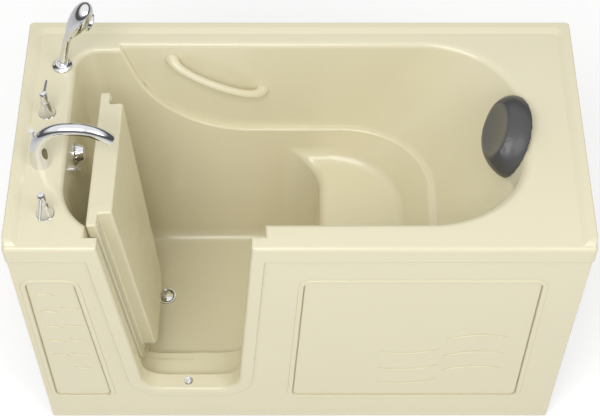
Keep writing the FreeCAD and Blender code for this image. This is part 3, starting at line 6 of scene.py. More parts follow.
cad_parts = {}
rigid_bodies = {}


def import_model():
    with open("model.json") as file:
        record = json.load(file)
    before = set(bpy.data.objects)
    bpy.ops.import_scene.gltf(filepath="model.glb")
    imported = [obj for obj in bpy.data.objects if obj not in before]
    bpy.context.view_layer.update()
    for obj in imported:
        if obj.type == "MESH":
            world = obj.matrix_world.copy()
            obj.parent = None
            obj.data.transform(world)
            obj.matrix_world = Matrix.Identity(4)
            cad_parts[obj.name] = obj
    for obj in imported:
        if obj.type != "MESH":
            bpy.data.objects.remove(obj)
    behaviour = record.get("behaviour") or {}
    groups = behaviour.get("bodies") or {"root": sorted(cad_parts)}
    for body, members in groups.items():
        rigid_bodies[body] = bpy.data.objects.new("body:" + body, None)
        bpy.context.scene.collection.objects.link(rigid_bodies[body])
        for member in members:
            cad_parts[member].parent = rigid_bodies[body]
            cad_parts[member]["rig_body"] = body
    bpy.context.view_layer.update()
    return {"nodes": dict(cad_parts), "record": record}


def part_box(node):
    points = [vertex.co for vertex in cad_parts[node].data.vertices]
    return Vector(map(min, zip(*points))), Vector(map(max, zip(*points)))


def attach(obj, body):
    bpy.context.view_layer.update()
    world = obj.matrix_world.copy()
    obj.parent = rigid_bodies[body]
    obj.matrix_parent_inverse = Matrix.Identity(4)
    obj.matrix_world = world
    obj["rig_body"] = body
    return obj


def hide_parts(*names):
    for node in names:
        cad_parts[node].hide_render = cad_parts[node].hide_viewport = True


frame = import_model()
cad = frame["nodes"]
print("frame loaded:", len(cad), "nodes")

# angle in degrees past which an edge stays crisp, by kind of piece
creases = {"skin": 34.0, "turned": 40.0, "wand": 42.0, "moulded": 50.0, "soft": 60.0}
# distances in metres at which points count as one, and the angle within which a face counts as flat
mending = {"cadSeam": 0.000002, "usedUp": 0.00001, "flat": 0.4}


# small habits used all through
def mm(value):
    return value / 1000


def dropAll():
    if bpy.context.object and bpy.context.object.mode != "OBJECT":
        bpy.ops.object.mode_set(mode="OBJECT")
    bpy.ops.object.select_all(action="DESELECT")


def takeUp(obj):
    dropAll()
    obj.select_set(True)
    bpy.context.view_layer.objects.active = obj


def openMesh(obj, action="SELECT"):  # edit mode, with all of the mesh chosen or none of it
    takeUp(obj)
    bpy.ops.object.mode_set(mode="EDIT")
    bpy.ops.mesh.select_all(action=action)


def chooseNone(obj):  # leaves object mode ready for choosing by place or normal
    openMesh(obj, "DESELECT")
    bpy.ops.object.mode_set(mode="OBJECT")


def smooth(obj, crease):
    takeUp(obj)
    bpy.ops.object.shade_smooth_by_angle(angle=math.radians(creases[crease]))
    evenOut = obj.modifiers.new("evenOut", "WEIGHTED_NORMAL")
    evenOut.keep_sharp = True
    bpy.ops.object.modifier_apply(modifier=evenOut.name)


def copyOf(obj, name):  # a copy with its own mesh
    twin = obj.copy()
    twin.data = obj.data.copy()
    twin.name = name
    twin.data.name = name
    bpy.context.scene.collection.objects.link(twin)
    return twin


def turned(degrees, axis="Y"):
    return Matrix.Rotation(math.radians(degrees), 4, axis)


def boxOf(node):
    return [Vector(corner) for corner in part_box(node)]


# node groups shared by the materials
def newGroup(name, inputs, outputs):
    group = bpy.data.node_groups.new(name, "ShaderNodeTree")
    for label, kind, value in inputs:
        socket = group.interface.new_socket(name=label, in_out="INPUT", socket_type=kind)
        socket.default_value = value
    for label, kind in outputs:
        group.interface.new_socket(name=label, in_out="OUTPUT", socket_type=kind)
    return group, group.nodes.new("NodeGroupInput"), group.nodes.new("NodeGroupOutput")


def addNode(tree, kind, **settings):
    node = tree.nodes.new(kind)
    for key, value in settings.items():
        setattr(node, key, value)
    return node


def feed(tree, value, socket):  # a number is set on the socket, an output is linked to it
    if isinstance(value, (int, float, tuple)):
        socket.default_value = value
    else:
        tree.links.new(value, socket)


def noise(tree, vector, scale, detail=2.0, roughness=0.5):
    node = addNode(tree, "ShaderNodeTexNoise")
    tree.links.new(vector, node.inputs["Vector"])
    for label, value in (("Scale", scale), ("Detail", detail), ("Roughness", roughness)):
        feed(tree, value, node.inputs[label])
    return node.outputs["Fac"]


def sums(tree, operation, first, second):
    node = addNode(tree, "ShaderNodeMath", operation=operation)
    feed(tree, first, node.inputs[0])
    feed(tree, second, node.inputs[1])
    return node.outputs[0]


def meanOf(tree, first, second):
    return sums(tree, "MULTIPLY", sums(tree, "ADD", first, second), 0.5)


def ramp(tree, value, low, high, toLow=0.0, toHigh=1.0):
    node = addNode(tree, "ShaderNodeMapRange")
    tree.links.new(value, node.inputs["Value"])
    for label, number in (("From Min", low), ("From Max", high), ("To Min", toLow), ("To Max", toHigh)):
        feed(tree, number, node.inputs[label])
    return node.outputs["Result"]


def blendColour(tree, share, first, second):
    node = addNode(tree, "ShaderNodeMix", data_type="RGBA")
    tree.links.new(share, node.inputs["Factor"])
    for label, value in (("A", first), ("B", second)):
        feed(tree, value, [item for item in node.inputs if item.name == label and item.type == "RGBA"][0])
    return [item for item in node.outputs if item.type == "RGBA"][0]


def shaderOf(mat):
    return [node for node in mat.node_tree.nodes if node.type == "BSDF_PRINCIPLED"][0]


effectOutputs = [("Colour", "NodeSocketColor"), ("Roughness", "NodeSocketFloat"),
                 ("Height", "NodeSocketFloat")]


def deliver(group, outs, colour, roughness, height):
    for label, value in (("Colour", colour), ("Roughness", roughness), ("Height", height)):
        group.links.new(value, outs.inputs[label])


def makeToneDrift():  # slow change of tone over a moulding, with a fine ripple under the gloss
    group, ins, outs = newGroup("toneDrift",
        [("Colour", "NodeSocketColor", (0.8, 0.8, 0.8, 1)), ("Shade", "NodeSocketColor", (0.6, 0.6, 0.6, 1)),
         ("Patch", "NodeSocketFloat", 2.0), ("Ripple", "NodeSocketFloat", 260.0),
         ("Smooth", "NodeSocketFloat", 0.08), ("Dull", "NodeSocketFloat", 0.14)], effectOutputs)
    place = addNode(group, "ShaderNodeTexCoord").outputs["Object"]
    tone = ramp(group, noise(group, place, ins.outputs["Patch"], detail=3.0), low=0.35, high=0.75)
    colour = blendColour(group, tone, ins.outputs["Colour"], ins.outputs["Shade"])
    wipesPerPatch = 6.0
    finer = sums(group, "MULTIPLY", ins.outputs["Patch"], wipesPerPatch)
    wipe = noise(group, place, finer, detail=4.0, roughness=0.6)
    gloss = ramp(group, wipe, low=0.3, high=0.75, toLow=ins.outputs["Smooth"], toHigh=ins.outputs["Dull"])
    deliver(group, outs, colour, gloss, noise(group, place, ins.outputs["Ripple"], detail=1.0))
    return group


def makeDrawnGrain():  # the drawn or rolled grain of tube and plate, finer across than along
    group, ins, outs = newGroup("drawnGrain",
        [("Stretch", "NodeSocketVector", (1.0, 1.0, 1.0)), ("Scale", "NodeSocketFloat", 200.0),
         ("Colour", "NodeSocketColor", (0.6, 0.6, 0.6, 1)), ("Shade", "NodeSocketColor", (0.4, 0.4, 0.4, 1)),
         ("Smooth", "NodeSocketFloat", 0.2), ("Dull", "NodeSocketFloat", 0.4)], effectOutputs)
    place = addNode(group, "ShaderNodeTexCoord").outputs["Object"]
    pull = addNode(group, "ShaderNodeMapping")
    group.links.new(place, pull.inputs["Vector"])
    group.links.new(ins.outputs["Stretch"], pull.inputs["Scale"])
    lines = noise(group, pull.outputs["Vector"], ins.outputs["Scale"], detail=3.0, roughness=0.65)
    cloud = noise(group, place, scale=14.0, detail=4.0, roughness=0.6)
    both = meanOf(group, lines, cloud)
    tone = ramp(group, both, low=0.35, high=0.65)
    colour = blendColour(group, tone, ins.outputs["Colour"], ins.outputs["Shade"])
    gloss = ramp(group, both, low=0.3, high=0.7, toLow=ins.outputs["Smooth"], toHigh=ins.outputs["Dull"])
    deliver(group, outs, colour, gloss, lines)
    return group


def makeSkinGrain():  # the pebbled skin of rubber and moulded foam
    group, ins, outs = newGroup("skinGrain",
        [("Scale", "NodeSocketFloat", 500.0), ("Colour", "NodeSocketColor", (0.1, 0.1, 0.1, 1)),
         ("Shade", "NodeSocketColor", (0.05, 0.05, 0.05, 1))], effectOutputs)
    place = addNode(group, "ShaderNodeTexCoord").outputs["Object"]
    pebble = addNode(group, "ShaderNodeTexVoronoi", feature="SMOOTH_F1")
    group.links.new(place, pebble.inputs["Vector"])
    group.links.new(ins.outputs["Scale"], pebble.inputs["Scale"])
    cells = pebble.outputs["Distance"]
    cloud = noise(group, place, scale=9.0, detail=3.0)
    tone = meanOf(group, ramp(group, cells, low=0.1, high=0.7), cloud)
    colour = blendColour(group, tone, ins.outputs["Colour"], ins.outputs["Shade"])
    gloss = ramp(group, cloud, low=0.3, high=0.7, toLow=0.38, toHigh=0.52)
    deliver(group, outs, colour, gloss, ramp(group, cells, low=0.0, high=0.8, toLow=1.0, toHigh=0.0))
    return group


def makeChoppedMat():  # glass strands laid any way in the resin behind the moulding
    lays = ((0.3, 0.4, 0.2), (1.1, 1.2, 0.5), (0.2, 2.0, 1.0), (0.7, 2.8, 0.3))
    strandStretch, strandScale = (9.0, 1.0, 1.0), 300.0
    group, ins, outs = newGroup("choppedMat",
        [("Colour", "NodeSocketColor", (0.7, 0.7, 0.6, 1)), ("Shade", "NodeSocketColor", (0.5, 0.5, 0.4, 1))],
        effectOutputs)
    place = addNode(group, "ShaderNodeTexCoord").outputs["Object"]
    strands = None
    for turns in lays:
        lay = addNode(group, "ShaderNodeMapping", vector_type="TEXTURE")
        group.links.new(place, lay.inputs["Vector"])
        lay.inputs["Rotation"].default_value = turns
        lay.inputs["Scale"].default_value = strandStretch
        layer = noise(group, lay.outputs["Vector"], strandScale, roughness=0.6)
        strands = layer if strands is None else sums(group, "MAXIMUM", strands, layer)
    tone = ramp(group, strands, low=0.56, high=0.80)
    colour = blendColour(group, tone, ins.outputs["Shade"], ins.outputs["Colour"])
    deliver(group, outs, colour, ramp(group, strands, low=0.4, high=0.8, toLow=0.75, toHigh=0.45), strands)
    return group


toneDrift = makeToneDrift()
drawnGrain = makeDrawnGrain()
skinGrain = makeSkinGrain()
choppedMat = makeChoppedMat()
print("node groups ready")


def newFinish(name, group, settings, bump, fixed):  # bump is its strength and its height in metres
    mat = bpy.data.materials.new(name)
    mat.use_nodes = True
    tree = mat.node_tree
    shader = shaderOf(mat)
    effect = addNode(tree, "ShaderNodeGroup", node_tree=group)
    for label, value in settings.items():
        effect.inputs[label].default_value = value
    tree.links.new(effect.outputs["Colour"], shader.inputs["Base Color"])
    tree.links.new(effect.outputs["Roughness"], shader.inputs["Roughness"])
    lift = addNode(tree, "ShaderNodeBump")
    lift.inputs["Strength"].default_value, lift.inputs["Distance"].default_value = bump
    tree.links.new(effect.outputs["Height"], lift.inputs["Height"])
    tree.links.new(lift.outputs["Normal"], shader.inputs["Normal"])
    for label, value in fixed.items():
        shader.inputs[label].default_value = value
    return mat


finish = {
    "acrylic": newFinish("biscuitAcrylic", toneDrift,
        {"Colour": (0.795, 0.740, 0.534, 1), "Shade": (0.780, 0.722, 0.514, 1), "Patch": 1.6, "Ripple": 190.0,
         "Smooth": 0.20, "Dull": 0.27}, (0.03, 0.0004),
        {"Coat Weight": 0.35, "Coat Roughness": 0.06, "Specular IOR Level": 0.4}),
    "fibre": newFinish("fibreBacking", choppedMat,
        {"Colour": (0.68, 0.64, 0.50, 1), "Shade": (0.52, 0.48, 0.35, 1)}, (0.5, 0.0012), {}),
    "chrome": newFinish("chromePlate", toneDrift,
        {"Colour": (0.80, 0.81, 0.83, 1), "Shade": (0.74, 0.75, 0.77, 1), "Patch": 30.0, "Ripple": 900.0,
         "Smooth": 0.045, "Dull": 0.10}, (0.02, 0.0001), {"Metallic": 1.0}),
    "steel": newFinish("zincSteel", drawnGrain,
        {"Stretch": (0.06, 1.0, 1.0), "Scale": 420.0, "Colour": (0.52, 0.53, 0.54, 1),
         "Shade": (0.38, 0.39, 0.41, 1), "Smooth": 0.30, "Dull": 0.48}, (0.15, 0.0003), {"Metallic": 1.0}),
    "brass": newFinish("brassBody", drawnGrain,
        {"Stretch": (1.0, 1.0, 0.1), "Scale": 700.0, "Colour": (0.66, 0.50, 0.24, 1),
         "Shade": (0.50, 0.36, 0.16, 1), "Smooth": 0.26, "Dull": 0.42}, (0.12, 0.0002), {"Metallic": 1.0}),
    "pipe": newFinish("whitePipe", toneDrift,
        {"Colour": (0.78, 0.78, 0.76, 1), "Shade": (0.70, 0.70, 0.67, 1), "Patch": 8.0, "Ripple": 300.0,
         "Smooth": 0.30, "Dull": 0.42}, (0.05, 0.0003), {}),
    "seal": newFinish("paleSeal", skinGrain,
        {"Scale": 900.0, "Colour": (0.69, 0.645, 0.475, 1), "Shade": (0.63, 0.585, 0.425, 1)},
        (0.12, 0.0002), {}),
    "foot_rubber": newFinish("footRubber", skinGrain,
        {"Scale": 700.0, "Colour": (0.045, 0.045, 0.047, 1), "Shade": (0.025, 0.025, 0.027, 1)},
        (0.2, 0.0003), {}),
    "pad": newFinish("foamSkin", skinGrain,
        {"Scale": 520.0, "Colour": (0.066, 0.066, 0.069, 1), "Shade": (0.046, 0.046, 0.049, 1)},
        (0.12, 0.0003), {"Coat Weight": 0.4, "Coat Roughness": 0.22}),
    "spray": newFinish("sprayRubber", toneDrift,
        {"Colour": (0.30, 0.31, 0.33, 1), "Shade": (0.24, 0.25, 0.27, 1), "Patch": 60.0, "Ripple": 900.0,
         "Smooth": 0.35, "Dull": 0.5}, (0.05, 0.0002), {}),
}
print("finishes ready:", len(finish))

slotOf = {row["node"]: row["material_slot"] for row in frame["record"]["subparts"]}


def wear(obj, node, slot):  # an object takes its finish, and the body and slot of a node
    obj.data.materials.clear()
    obj.data.materials.append(finish[slot])
    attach(obj, cad[node]["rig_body"])


def mergedCopy(node, name):  # the CAD mesh in one skin, which stands for its node
    obj = copyOf(cad[node], name)
    for key in list(obj.keys()):
        del obj[key]
    obj.parent = None
    takeUp(obj)
    bpy.ops.mesh.customdata_custom_splitnormals_clear()
    openMesh(obj)
    bpy.ops.mesh.remove_doubles(threshold=mending["cadSeam"])
    bpy.ops.object.mode_set(mode="OBJECT")
    wear(obj, node, slotOf[node])
    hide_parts(node)
    return obj


# a moulded radius along the crisp edges of these skins, in metres
softMake = {"steps": 3, "limit": 32.0,
            "width": {"door_leaf": 0.005, "left_access_panel": 0.0022, "right_access_panel": 0.0022,
                      "front_apron": 0.0035}}


def softenEdges(obj, width):
    openMesh(obj)
    bpy.ops.mesh.dissolve_limited(angle_limit=math.radians(mending["flat"]))
    bpy.ops.object.mode_set(mode="OBJECT")
    radius = obj.modifiers.new("radius", "BEVEL")
    radius.width = width
    radius.segments = softMake["steps"]
    radius.limit_method = "ANGLE"
    radius.angle_limit = math.radians(softMake["limit"])
    radius.use_clamp_overlap = False
    radius.miter_outer = "MITER_ARC"
    bpy.ops.object.modifier_apply(modifier=radius.name)


modelled = {"spout", "rear_handle_base", "front_handle_base", "shower_holder", "hand_shower", "spray_face",
            "headrest", "grab_bar"}
skins = {}
for node in sorted(set(cad) - modelled):
    skins[node] = mergedCopy(node, "skin_" + node)
    if node in softMake["width"]:
        softenEdges(skins[node], softMake["width"][node])
    smooth(skins[node], "skin")
print("skins made:", len(skins))

# the raised lip slopes softly into the deck, its front ends run out as ramps, and the deck's fold
# runs clean to the doorway's jambs; sizes in metres
lipMake = {"deck": 0.957, "step": 0.962, "edgeX": 0.739, "edgeY": 0.358, "cornerX": 0.713, "cornerY": 0.332,
           "foot": 0.015, "brow": 0.005, "levelNear": 0.0002, "edgeNear": 0.0003, "arcNear": 0.0004,
           "frontEnd": -0.350, "endFrom": 0.960, "endSlope": 1.8,
           "jambs": ((-0.124, -0.094), (-0.549, -0.518)), "jambFront": -0.3765, "jambLow": 0.9525,
           "jambHigh": 0.9545, "jambMerge": 0.0018}
shell = skins["tub_shell"]
lipReach = lipMake["edgeX"] - lipMake["cornerX"]
for point in shell.data.vertices:
    spot = point.co
    level = [shift for key, shift in (("deck", "foot"), ("step", "brow"))
             if abs(spot.z - lipMake[key]) < lipMake["levelNear"]]
    near = lipMake["edgeNear"]
    onEnd = abs(abs(spot.x) - lipMake["edgeX"]) < near and spot.y < lipMake["cornerY"] + near
    onRear = abs(spot.y - lipMake["edgeY"]) < near and abs(spot.x) < lipMake["cornerX"] + near
    arm = Vector((abs(spot.x) - lipMake["cornerX"], spot.y - lipMake["cornerY"], 0))
    onCorner = min(arm.x, arm.y) > 0 and abs(arm.length - lipReach) < lipMake["arcNear"]
    if level and (onEnd or onRear or onCorner):
        side = math.copysign(1.0, spot.x)
        away = arm.normalized() if onCorner else Vector((1, 0, 0)) if onEnd else Vector((0, 1, 0))
        spot -= Vector((away.x * side, away.y, 0)) * lipMake[level[0]]
    if spot.y < lipMake["frontEnd"] and spot.z > lipMake["endFrom"]:
        spot.y += (spot.z - lipMake["deck"]) * lipMake["endSlope"]
chooseNone(shell)
for point in shell.data.vertices:
    spot = point.co
    atFold = spot.y < lipMake["jambFront"] and lipMake["jambLow"] < spot.z < lipMake["jambHigh"]
    point.select = atFold and any(near < spot.x < far for near, far in lipMake["jambs"])
bpy.ops.object.mode_set(mode="EDIT")
bpy.ops.mesh.remove_doubles(threshold=lipMake["jambMerge"])

# a soft radius round the raised band of the doorway and along the skirt's lower edge
bandMake = {"face": -0.381, "faceNear": 0.0002, "facing": -0.999, "top": 0.934, "crisp": 0.5,
            "radius": 0.0032, "steps": 3}


def onBandFace(spot):
    return abs(spot.y - bandMake["face"]) < bandMake["faceNear"]


chooseNone(shell)
for face in shell.data.polygons:
    face.select = face.normal.y < bandMake["facing"] and onBandFace(face.center)
bpy.ops.object.mode_set(mode="EDIT")
bpy.ops.mesh.dissolve_limited(angle_limit=math.radians(mending["flat"]))
chooseNone(shell)
onBand = {point.index for point in shell.data.vertices
          if onBandFace(point.co) and point.co.z < bandMake["top"]}
meeting = {}
for face in shell.data.polygons:
    for key in face.edge_keys:
        meeting.setdefault(key, []).append(face.normal)
for edge in shell.data.edges:
    normals = meeting.get(edge.key, [])
    crisp = len(normals) == 2 and normals[0].dot(normals[1]) < bandMake["crisp"]
    edge.select = crisp and edge.vertices[0] in onBand and edge.vertices[1] in onBand
print("band edges:", sum(edge.select for edge in shell.data.edges))
bpy.ops.object.mode_set(mode="EDIT")
bpy.ops.mesh.select_mode(type="EDGE")
bpy.ops.mesh.bevel(offset=bandMake["radius"], segments=bandMake["steps"], affect="EDGES", clamp_overlap=True)
bpy.ops.mesh.select_mode(type="VERT")
bpy.ops.mesh.select_all(action="SELECT")
bpy.ops.mesh.dissolve_degenerate(threshold=mending["usedUp"])
bpy.ops.object.mode_set(mode="OBJECT")
smooth(shell, "skin")

# the unseen side of the moulding is bare glass mat: what faces away from the bather, or down
backing = {"seatLevel": 0.50, "footMiddle": (-0.45, -0.12), "upperMiddle": (-0.45, 0.22), "skirt": 0.006,
           "doorLeft": -0.62, "doorRight": -0.05, "doorFront": -0.27, "upward": 0.5, "downward": -0.35}
shell.data.materials.append(finish["fibre"])
fibreIndex = len(shell.data.materials) - 1
low, high = boxOf("tub_shell")
for face in shell.data.polygons:
    spot = face.center
    near, far = backing["footMiddle"] if spot.z < backing["seatLevel"] else backing["upperMiddle"]
    middle = Vector((min(max(spot.x, near), far), 0, spot.z))
    outside = min(spot.x - low.x, high.x - spot.x, spot.y - low.y, high.y - spot.y) < backing["skirt"]
    throat = backing["doorLeft"] < spot.x < backing["doorRight"] and spot.y < backing["doorFront"]
    faced = face.normal.dot(spot - middle) > 0 and face.normal.z < backing["upward"]
    if face.normal.z < backing["downward"] or (faced and not outside and not throat):
        face.material_index = fibreIndex
print("shell backing laid")


# turned and drawn pieces, in millimetres
def startDisc(name, sides, radius):
    dropAll()
    bpy.ops.mesh.primitive_circle_add(vertices=sides, radius=radius, fill_type="NGON", location=(0, 0, 0))
    obj = bpy.context.object
    obj.name = name
    openMesh(obj)
    return obj


def closeUp():
    bpy.ops.mesh.select_all(action="SELECT")
    bpy.ops.mesh.normals_make_consistent(inside=False)
    bpy.ops.object.mode_set(mode="OBJECT")


# a disc drawn up and scaled, ring by ring; a row is one radius or two, and its height
def turnPiece(name, outline, sides):
    rows = [(row[0],) + tuple(row) if len(row) == 2 else tuple(row) for row in outline]
    obj = startDisc(name, sides, 1.0)
    bpy.ops.transform.resize(value=(mm(rows[0][0]), mm(rows[0][1]), 1.0), center_override=(0, 0, 0))
    bpy.ops.transform.translate(value=(0, 0, mm(rows[0][2])))
    for row, ahead in zip(rows, rows[1:]):
        bpy.ops.mesh.extrude_region_move(TRANSFORM_OT_translate={"value": (0, 0, mm(ahead[2] - row[2]))})
        bpy.ops.transform.resize(value=(ahead[0] / row[0], ahead[1] / row[1], 1.0),
                                 center_override=(0, 0, mm(ahead[2])))
    closeUp()
    return obj


# a disc drawn along stations of x, z, tilt and radius; a mouth is its wall and depth
def drawTube(name, stations, mouth, sides):
    obj = startDisc(name, sides, mm(stations[0][3]))
    bpy.ops.transform.translate(value=(mm(stations[0][0]), 0, mm(stations[0][1])))
    for row, ahead in zip(stations, stations[1:]):
        centre = (mm(ahead[0]), 0, mm(ahead[1]))
        bpy.ops.mesh.extrude_region_move(
            TRANSFORM_OT_translate={"value": (mm(ahead[0] - row[0]), 0, mm(ahead[1] - row[1]))})
        bpy.ops.transform.rotate(value=math.radians(row[2] - ahead[2]), orient_axis="Y",
                                 center_override=centre)
        bpy.ops.transform.resize(value=(ahead[3] / row[3],) * 3, center_override=centre)
    if mouth:
        wall, depth = mouth
        lean = math.radians(stations[-1][2])
        bpy.ops.mesh.inset(thickness=mm(wall))
        bpy.ops.mesh.extrude_region_move(TRANSFORM_OT_translate={
            "value": (-mm(depth) * math.sin(lean), 0, -mm(depth) * math.cos(lean))})
    closeUp()
    return obj


def crispen(obj, width, steps, limit):  # an edge's small radius; faces that it has used up are taken away
    takeUp(obj)
    edge = obj.modifiers.new("edge", "BEVEL")
    edge.width = mm(width)
    edge.segments = steps
    edge.limit_method = "ANGLE"
    edge.angle_limit = math.radians(limit)
    bpy.ops.object.modifier_apply(modifier=edge.name)
    openMesh(obj)
    bpy.ops.mesh.remove_doubles(threshold=mending["usedUp"])
    bpy.ops.mesh.dissolve_degenerate(threshold=mending["usedUp"])
    bpy.ops.object.mode_set(mode="OBJECT")


def roundOff(obj, levels):
    takeUp(obj)
    swell = obj.modifiers.new("swell", "SUBSURF")
    swell.levels = levels
    swell.render_levels = levels
    bpy.ops.object.modifier_apply(modifier=swell.name)


def place(obj, matrix):  # its place goes into its mesh
    takeUp(obj)
    obj.matrix_world = matrix @ obj.matrix_world
    bpy.ops.object.transform_apply(location=True, rotation=True, scale=True)


def settle(obj, spot, lean=0.0, axis="Y"):
    place(obj, Matrix.Translation(spot) @ turned(lean, axis))


def strew(model, spots):  # one model, copied to each spot
    copies = []
    for spot in spots:
        copies.append(copyOf(model, model.name))
        settle(copies[-1], spot)
    bpy.data.objects.remove(model)
    return copies


def gather(name, pieces):
    dropAll()
    for piece in pieces:
        piece.select_set(True)
    bpy.context.view_layer.objects.active = pieces[0]
    bpy.ops.object.join()
    pieces[0].name = name
    return pieces[0]


def dress(obj, node, slot, crease, standsFor=True):
    smooth(obj, crease)
    wear(obj, node, slot)
    if standsFor:
        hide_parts(node)


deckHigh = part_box("spout")[0][2]


def footOf(node):  # the middle of a fitting where it meets the deck
    small, large = boxOf(node)
    return Vector(((small.x + large.x) / 2, (small.y + large.y) / 2, deckHigh))


# spout: a tapered rise, one bend over and a longer one down to the mouth
spoutMake = {"base": 27.5, "tube": 16.5, "taper": 150.0, "flare": 1.35, "rise": 58.0, "bend": 84.0,
             "flat": 18.0, "dropBend": 112.0, "drop": 51.0, "tip": 5.0, "mouth": (2.6, 14.0), "sides": 40,
             "riseSteps": 7, "bendSteps": 14, "dropSteps": 10, "edge": (0.8, 2, 26.0)}


def spoutStations(make):
    rows = [(0.0, make["rise"] * i / make["riseSteps"], 0.0) for i in range(make["riseSteps"] + 1)]
    for i in range(1, make["bendSteps"] + 1):
        swing = math.radians(90.0 * i / make["bendSteps"])
        rows.append((make["bend"] * (1 - math.cos(swing)), make["rise"] + make["bend"] * math.sin(swing),
                     math.degrees(swing)))
    crown, top = make["bend"] + make["flat"], make["rise"] + make["bend"]
    for i in range(make["dropSteps"] + 1):
        swing = math.radians(make["drop"] * i / make["dropSteps"])
        rows.append((crown + make["dropBend"] * math.sin(swing),
                     top - make["dropBend"] * (1 - math.cos(swing)), 90.0 + math.degrees(swing)))
    lean = math.radians(90.0 + make["drop"])
    rows.append((rows[-1][0] + make["tip"] * math.sin(lean), rows[-1][1] + make["tip"] * math.cos(lean),
                 90.0 + make["drop"]))
    run, stations = 0.0, []
    for i, (x, z, tilt) in enumerate(rows):
        if i:
            run += math.dist(rows[i - 1][:2], (x, z))
        share = max(0.0, 1.0 - run / make["taper"])
        stations.append((x, z, tilt, make["tube"] + (make["base"] - make["tube"]) * share ** make["flare"]))
    return stations


stations = spoutStations(spoutMake)
spout = drawTube("spoutTube", stations, spoutMake["mouth"], spoutMake["sides"])
crispen(spout, *spoutMake["edge"])
spoutFoot = footOf("spout")
spoutFoot.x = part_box("spout")[0][0] + mm(spoutMake["base"])
settle(spout, spoutFoot)
dress(spout, "spout", "chrome", "turned")

# the spout's strainer, ribbed and set back in its mouth
strainerMake = {"outline": [(10.6, 0.0), (10.6, 2.0), (9.4, 2.6), (8.6, 2.6), (8.4, 1.6), (6.6, 1.6),
                            (6.4, 2.6), (4.4, 2.6), (4.2, 1.6), (2.4, 1.6), (2.2, 2.6), (0.4, 2.9)],
                "sides": 32, "inside": 6.0}
strainer = turnPiece("spoutStrainer", strainerMake["outline"], strainerMake["sides"])
lastX, lastZ, lastTilt = stations[-1][:3]
inward = turned(lastTilt) @ Vector((0, 0, -mm(strainerMake["inside"])))
settle(strainer, spoutFoot + Vector((mm(lastX), 0, mm(lastZ))) + inward, lastTilt)
dress(strainer, "spout", "steel", "turned", standsFor=False)

# tap bodies: flared bells with a stepped foot
bellMake = {"outline": [(24.0, 0.0), (24.0, 2.0), (22.8, 3.0), (22.2, 4.2), (20.4, 9.0), (17.8, 18.0),
                        (15.4, 29.0), (13.4, 40.0), (12.4, 47.0), (12.2, 49.0), (11.5, 49.6), (11.5, 52.0)],
            "sides": 44, "edge": (0.5, 2, 20.0), "nodes": ("rear_handle_base", "front_handle_base")}
bell = turnPiece("bell", bellMake["outline"], bellMake["sides"])
crispen(bell, *bellMake["edge"])
for node in bellMake["nodes"]:
    tapBody = copyOf(bell, "bell_" + node)
    settle(tapBody, footOf(node))
    dress(tapBody, node, "chrome", "turned")
bpy.data.objects.remove(bell)

# hand shower: a ring on the deck, the grip, a broad head and its spray pod
showerMake = {"lean": 14.0, "headLean": 29.0, "podLean": 119.0, "seat": 5.0, "neckRun": 112.0,
              "podAlong": 92.0,
              "ring": [(15.0, -44.0), (15.0, 0.0), (28.0, 0.0), (28.0, 3.0), (27.0, 5.2), (24.0, 7.4),
                       (20.6, 11.0), (18.4, 14.0), (17.0, 15.0), (13.0, 15.0), (12.2, 12.0)],
              "grip": [(9.3, -9.7), (9.3, 12.0), (11.6, 13.0), (11.8, 20.0), (10.9, 21.0), (10.8, 40.0),
                       (10.5, 80.0), (10.7, 116.0)],
              "head": [(10.3, 11.0, -6.0), (11.4, 12.6, 8.0), (14.6, 17.0, 24.0), (19.6, 24.0, 42.0),
                       (24.4, 31.0, 62.0), (26.6, 35.4, 84.0), (26.8, 36.4, 104.0), (24.6, 33.6, 122.0),
                       (19.4, 26.6, 137.0), (11.4, 15.6, 147.0), (2.4, 3.4, 150.0)],
              "pod": [(17.0, 8.0), (21.6, 14.0), (24.4, 20.0), (25.0, 25.0), (25.0, 30.0), (24.0, 31.4),
                      (22.4, 31.6), (21.6, 30.8), (21.2, 29.4)],
              "ringSides": 56, "gripSides": 40, "headSides": 28, "podSides": 48, "headLevels": 2,
              "ringEdge": (0.6, 2, 24.0), "gripEdge": (0.5, 2, 24.0)}
ringFoot = footOf("shower_holder")
ring = turnPiece("showerRing", showerMake["ring"], showerMake["ringSides"])
crispen(ring, *showerMake["ringEdge"])
settle(ring, ringFoot)
dress(ring, "shower_holder", "chrome", "turned")
gripFoot = ringFoot + Vector((0, 0, mm(showerMake["seat"])))
grip = turnPiece("showerGrip", showerMake["grip"], showerMake["gripSides"])
crispen(grip, *showerMake["gripEdge"])
settle(grip, gripFoot, showerMake["lean"])
gripTop = gripFoot + turned(showerMake["lean"]) @ Vector((0, 0, mm(showerMake["neckRun"])))
head = turnPiece("showerHead", showerMake["head"], showerMake["headSides"])
roundOff(head, showerMake["headLevels"])
settle(head, gripTop, showerMake["headLean"])
podFoot = gripTop + turned(showerMake["headLean"]) @ Vector((0, 0, mm(showerMake["podAlong"])))
pod = turnPiece("sprayPod", showerMake["pod"], showerMake["podSides"])
crispen(pod, *showerMake["gripEdge"])
settle(pod, podFoot, showerMake["podLean"])
wand = gather("showerWand", [grip, head, pod])
dress(wand, "hand_shower", "chrome", "wand")

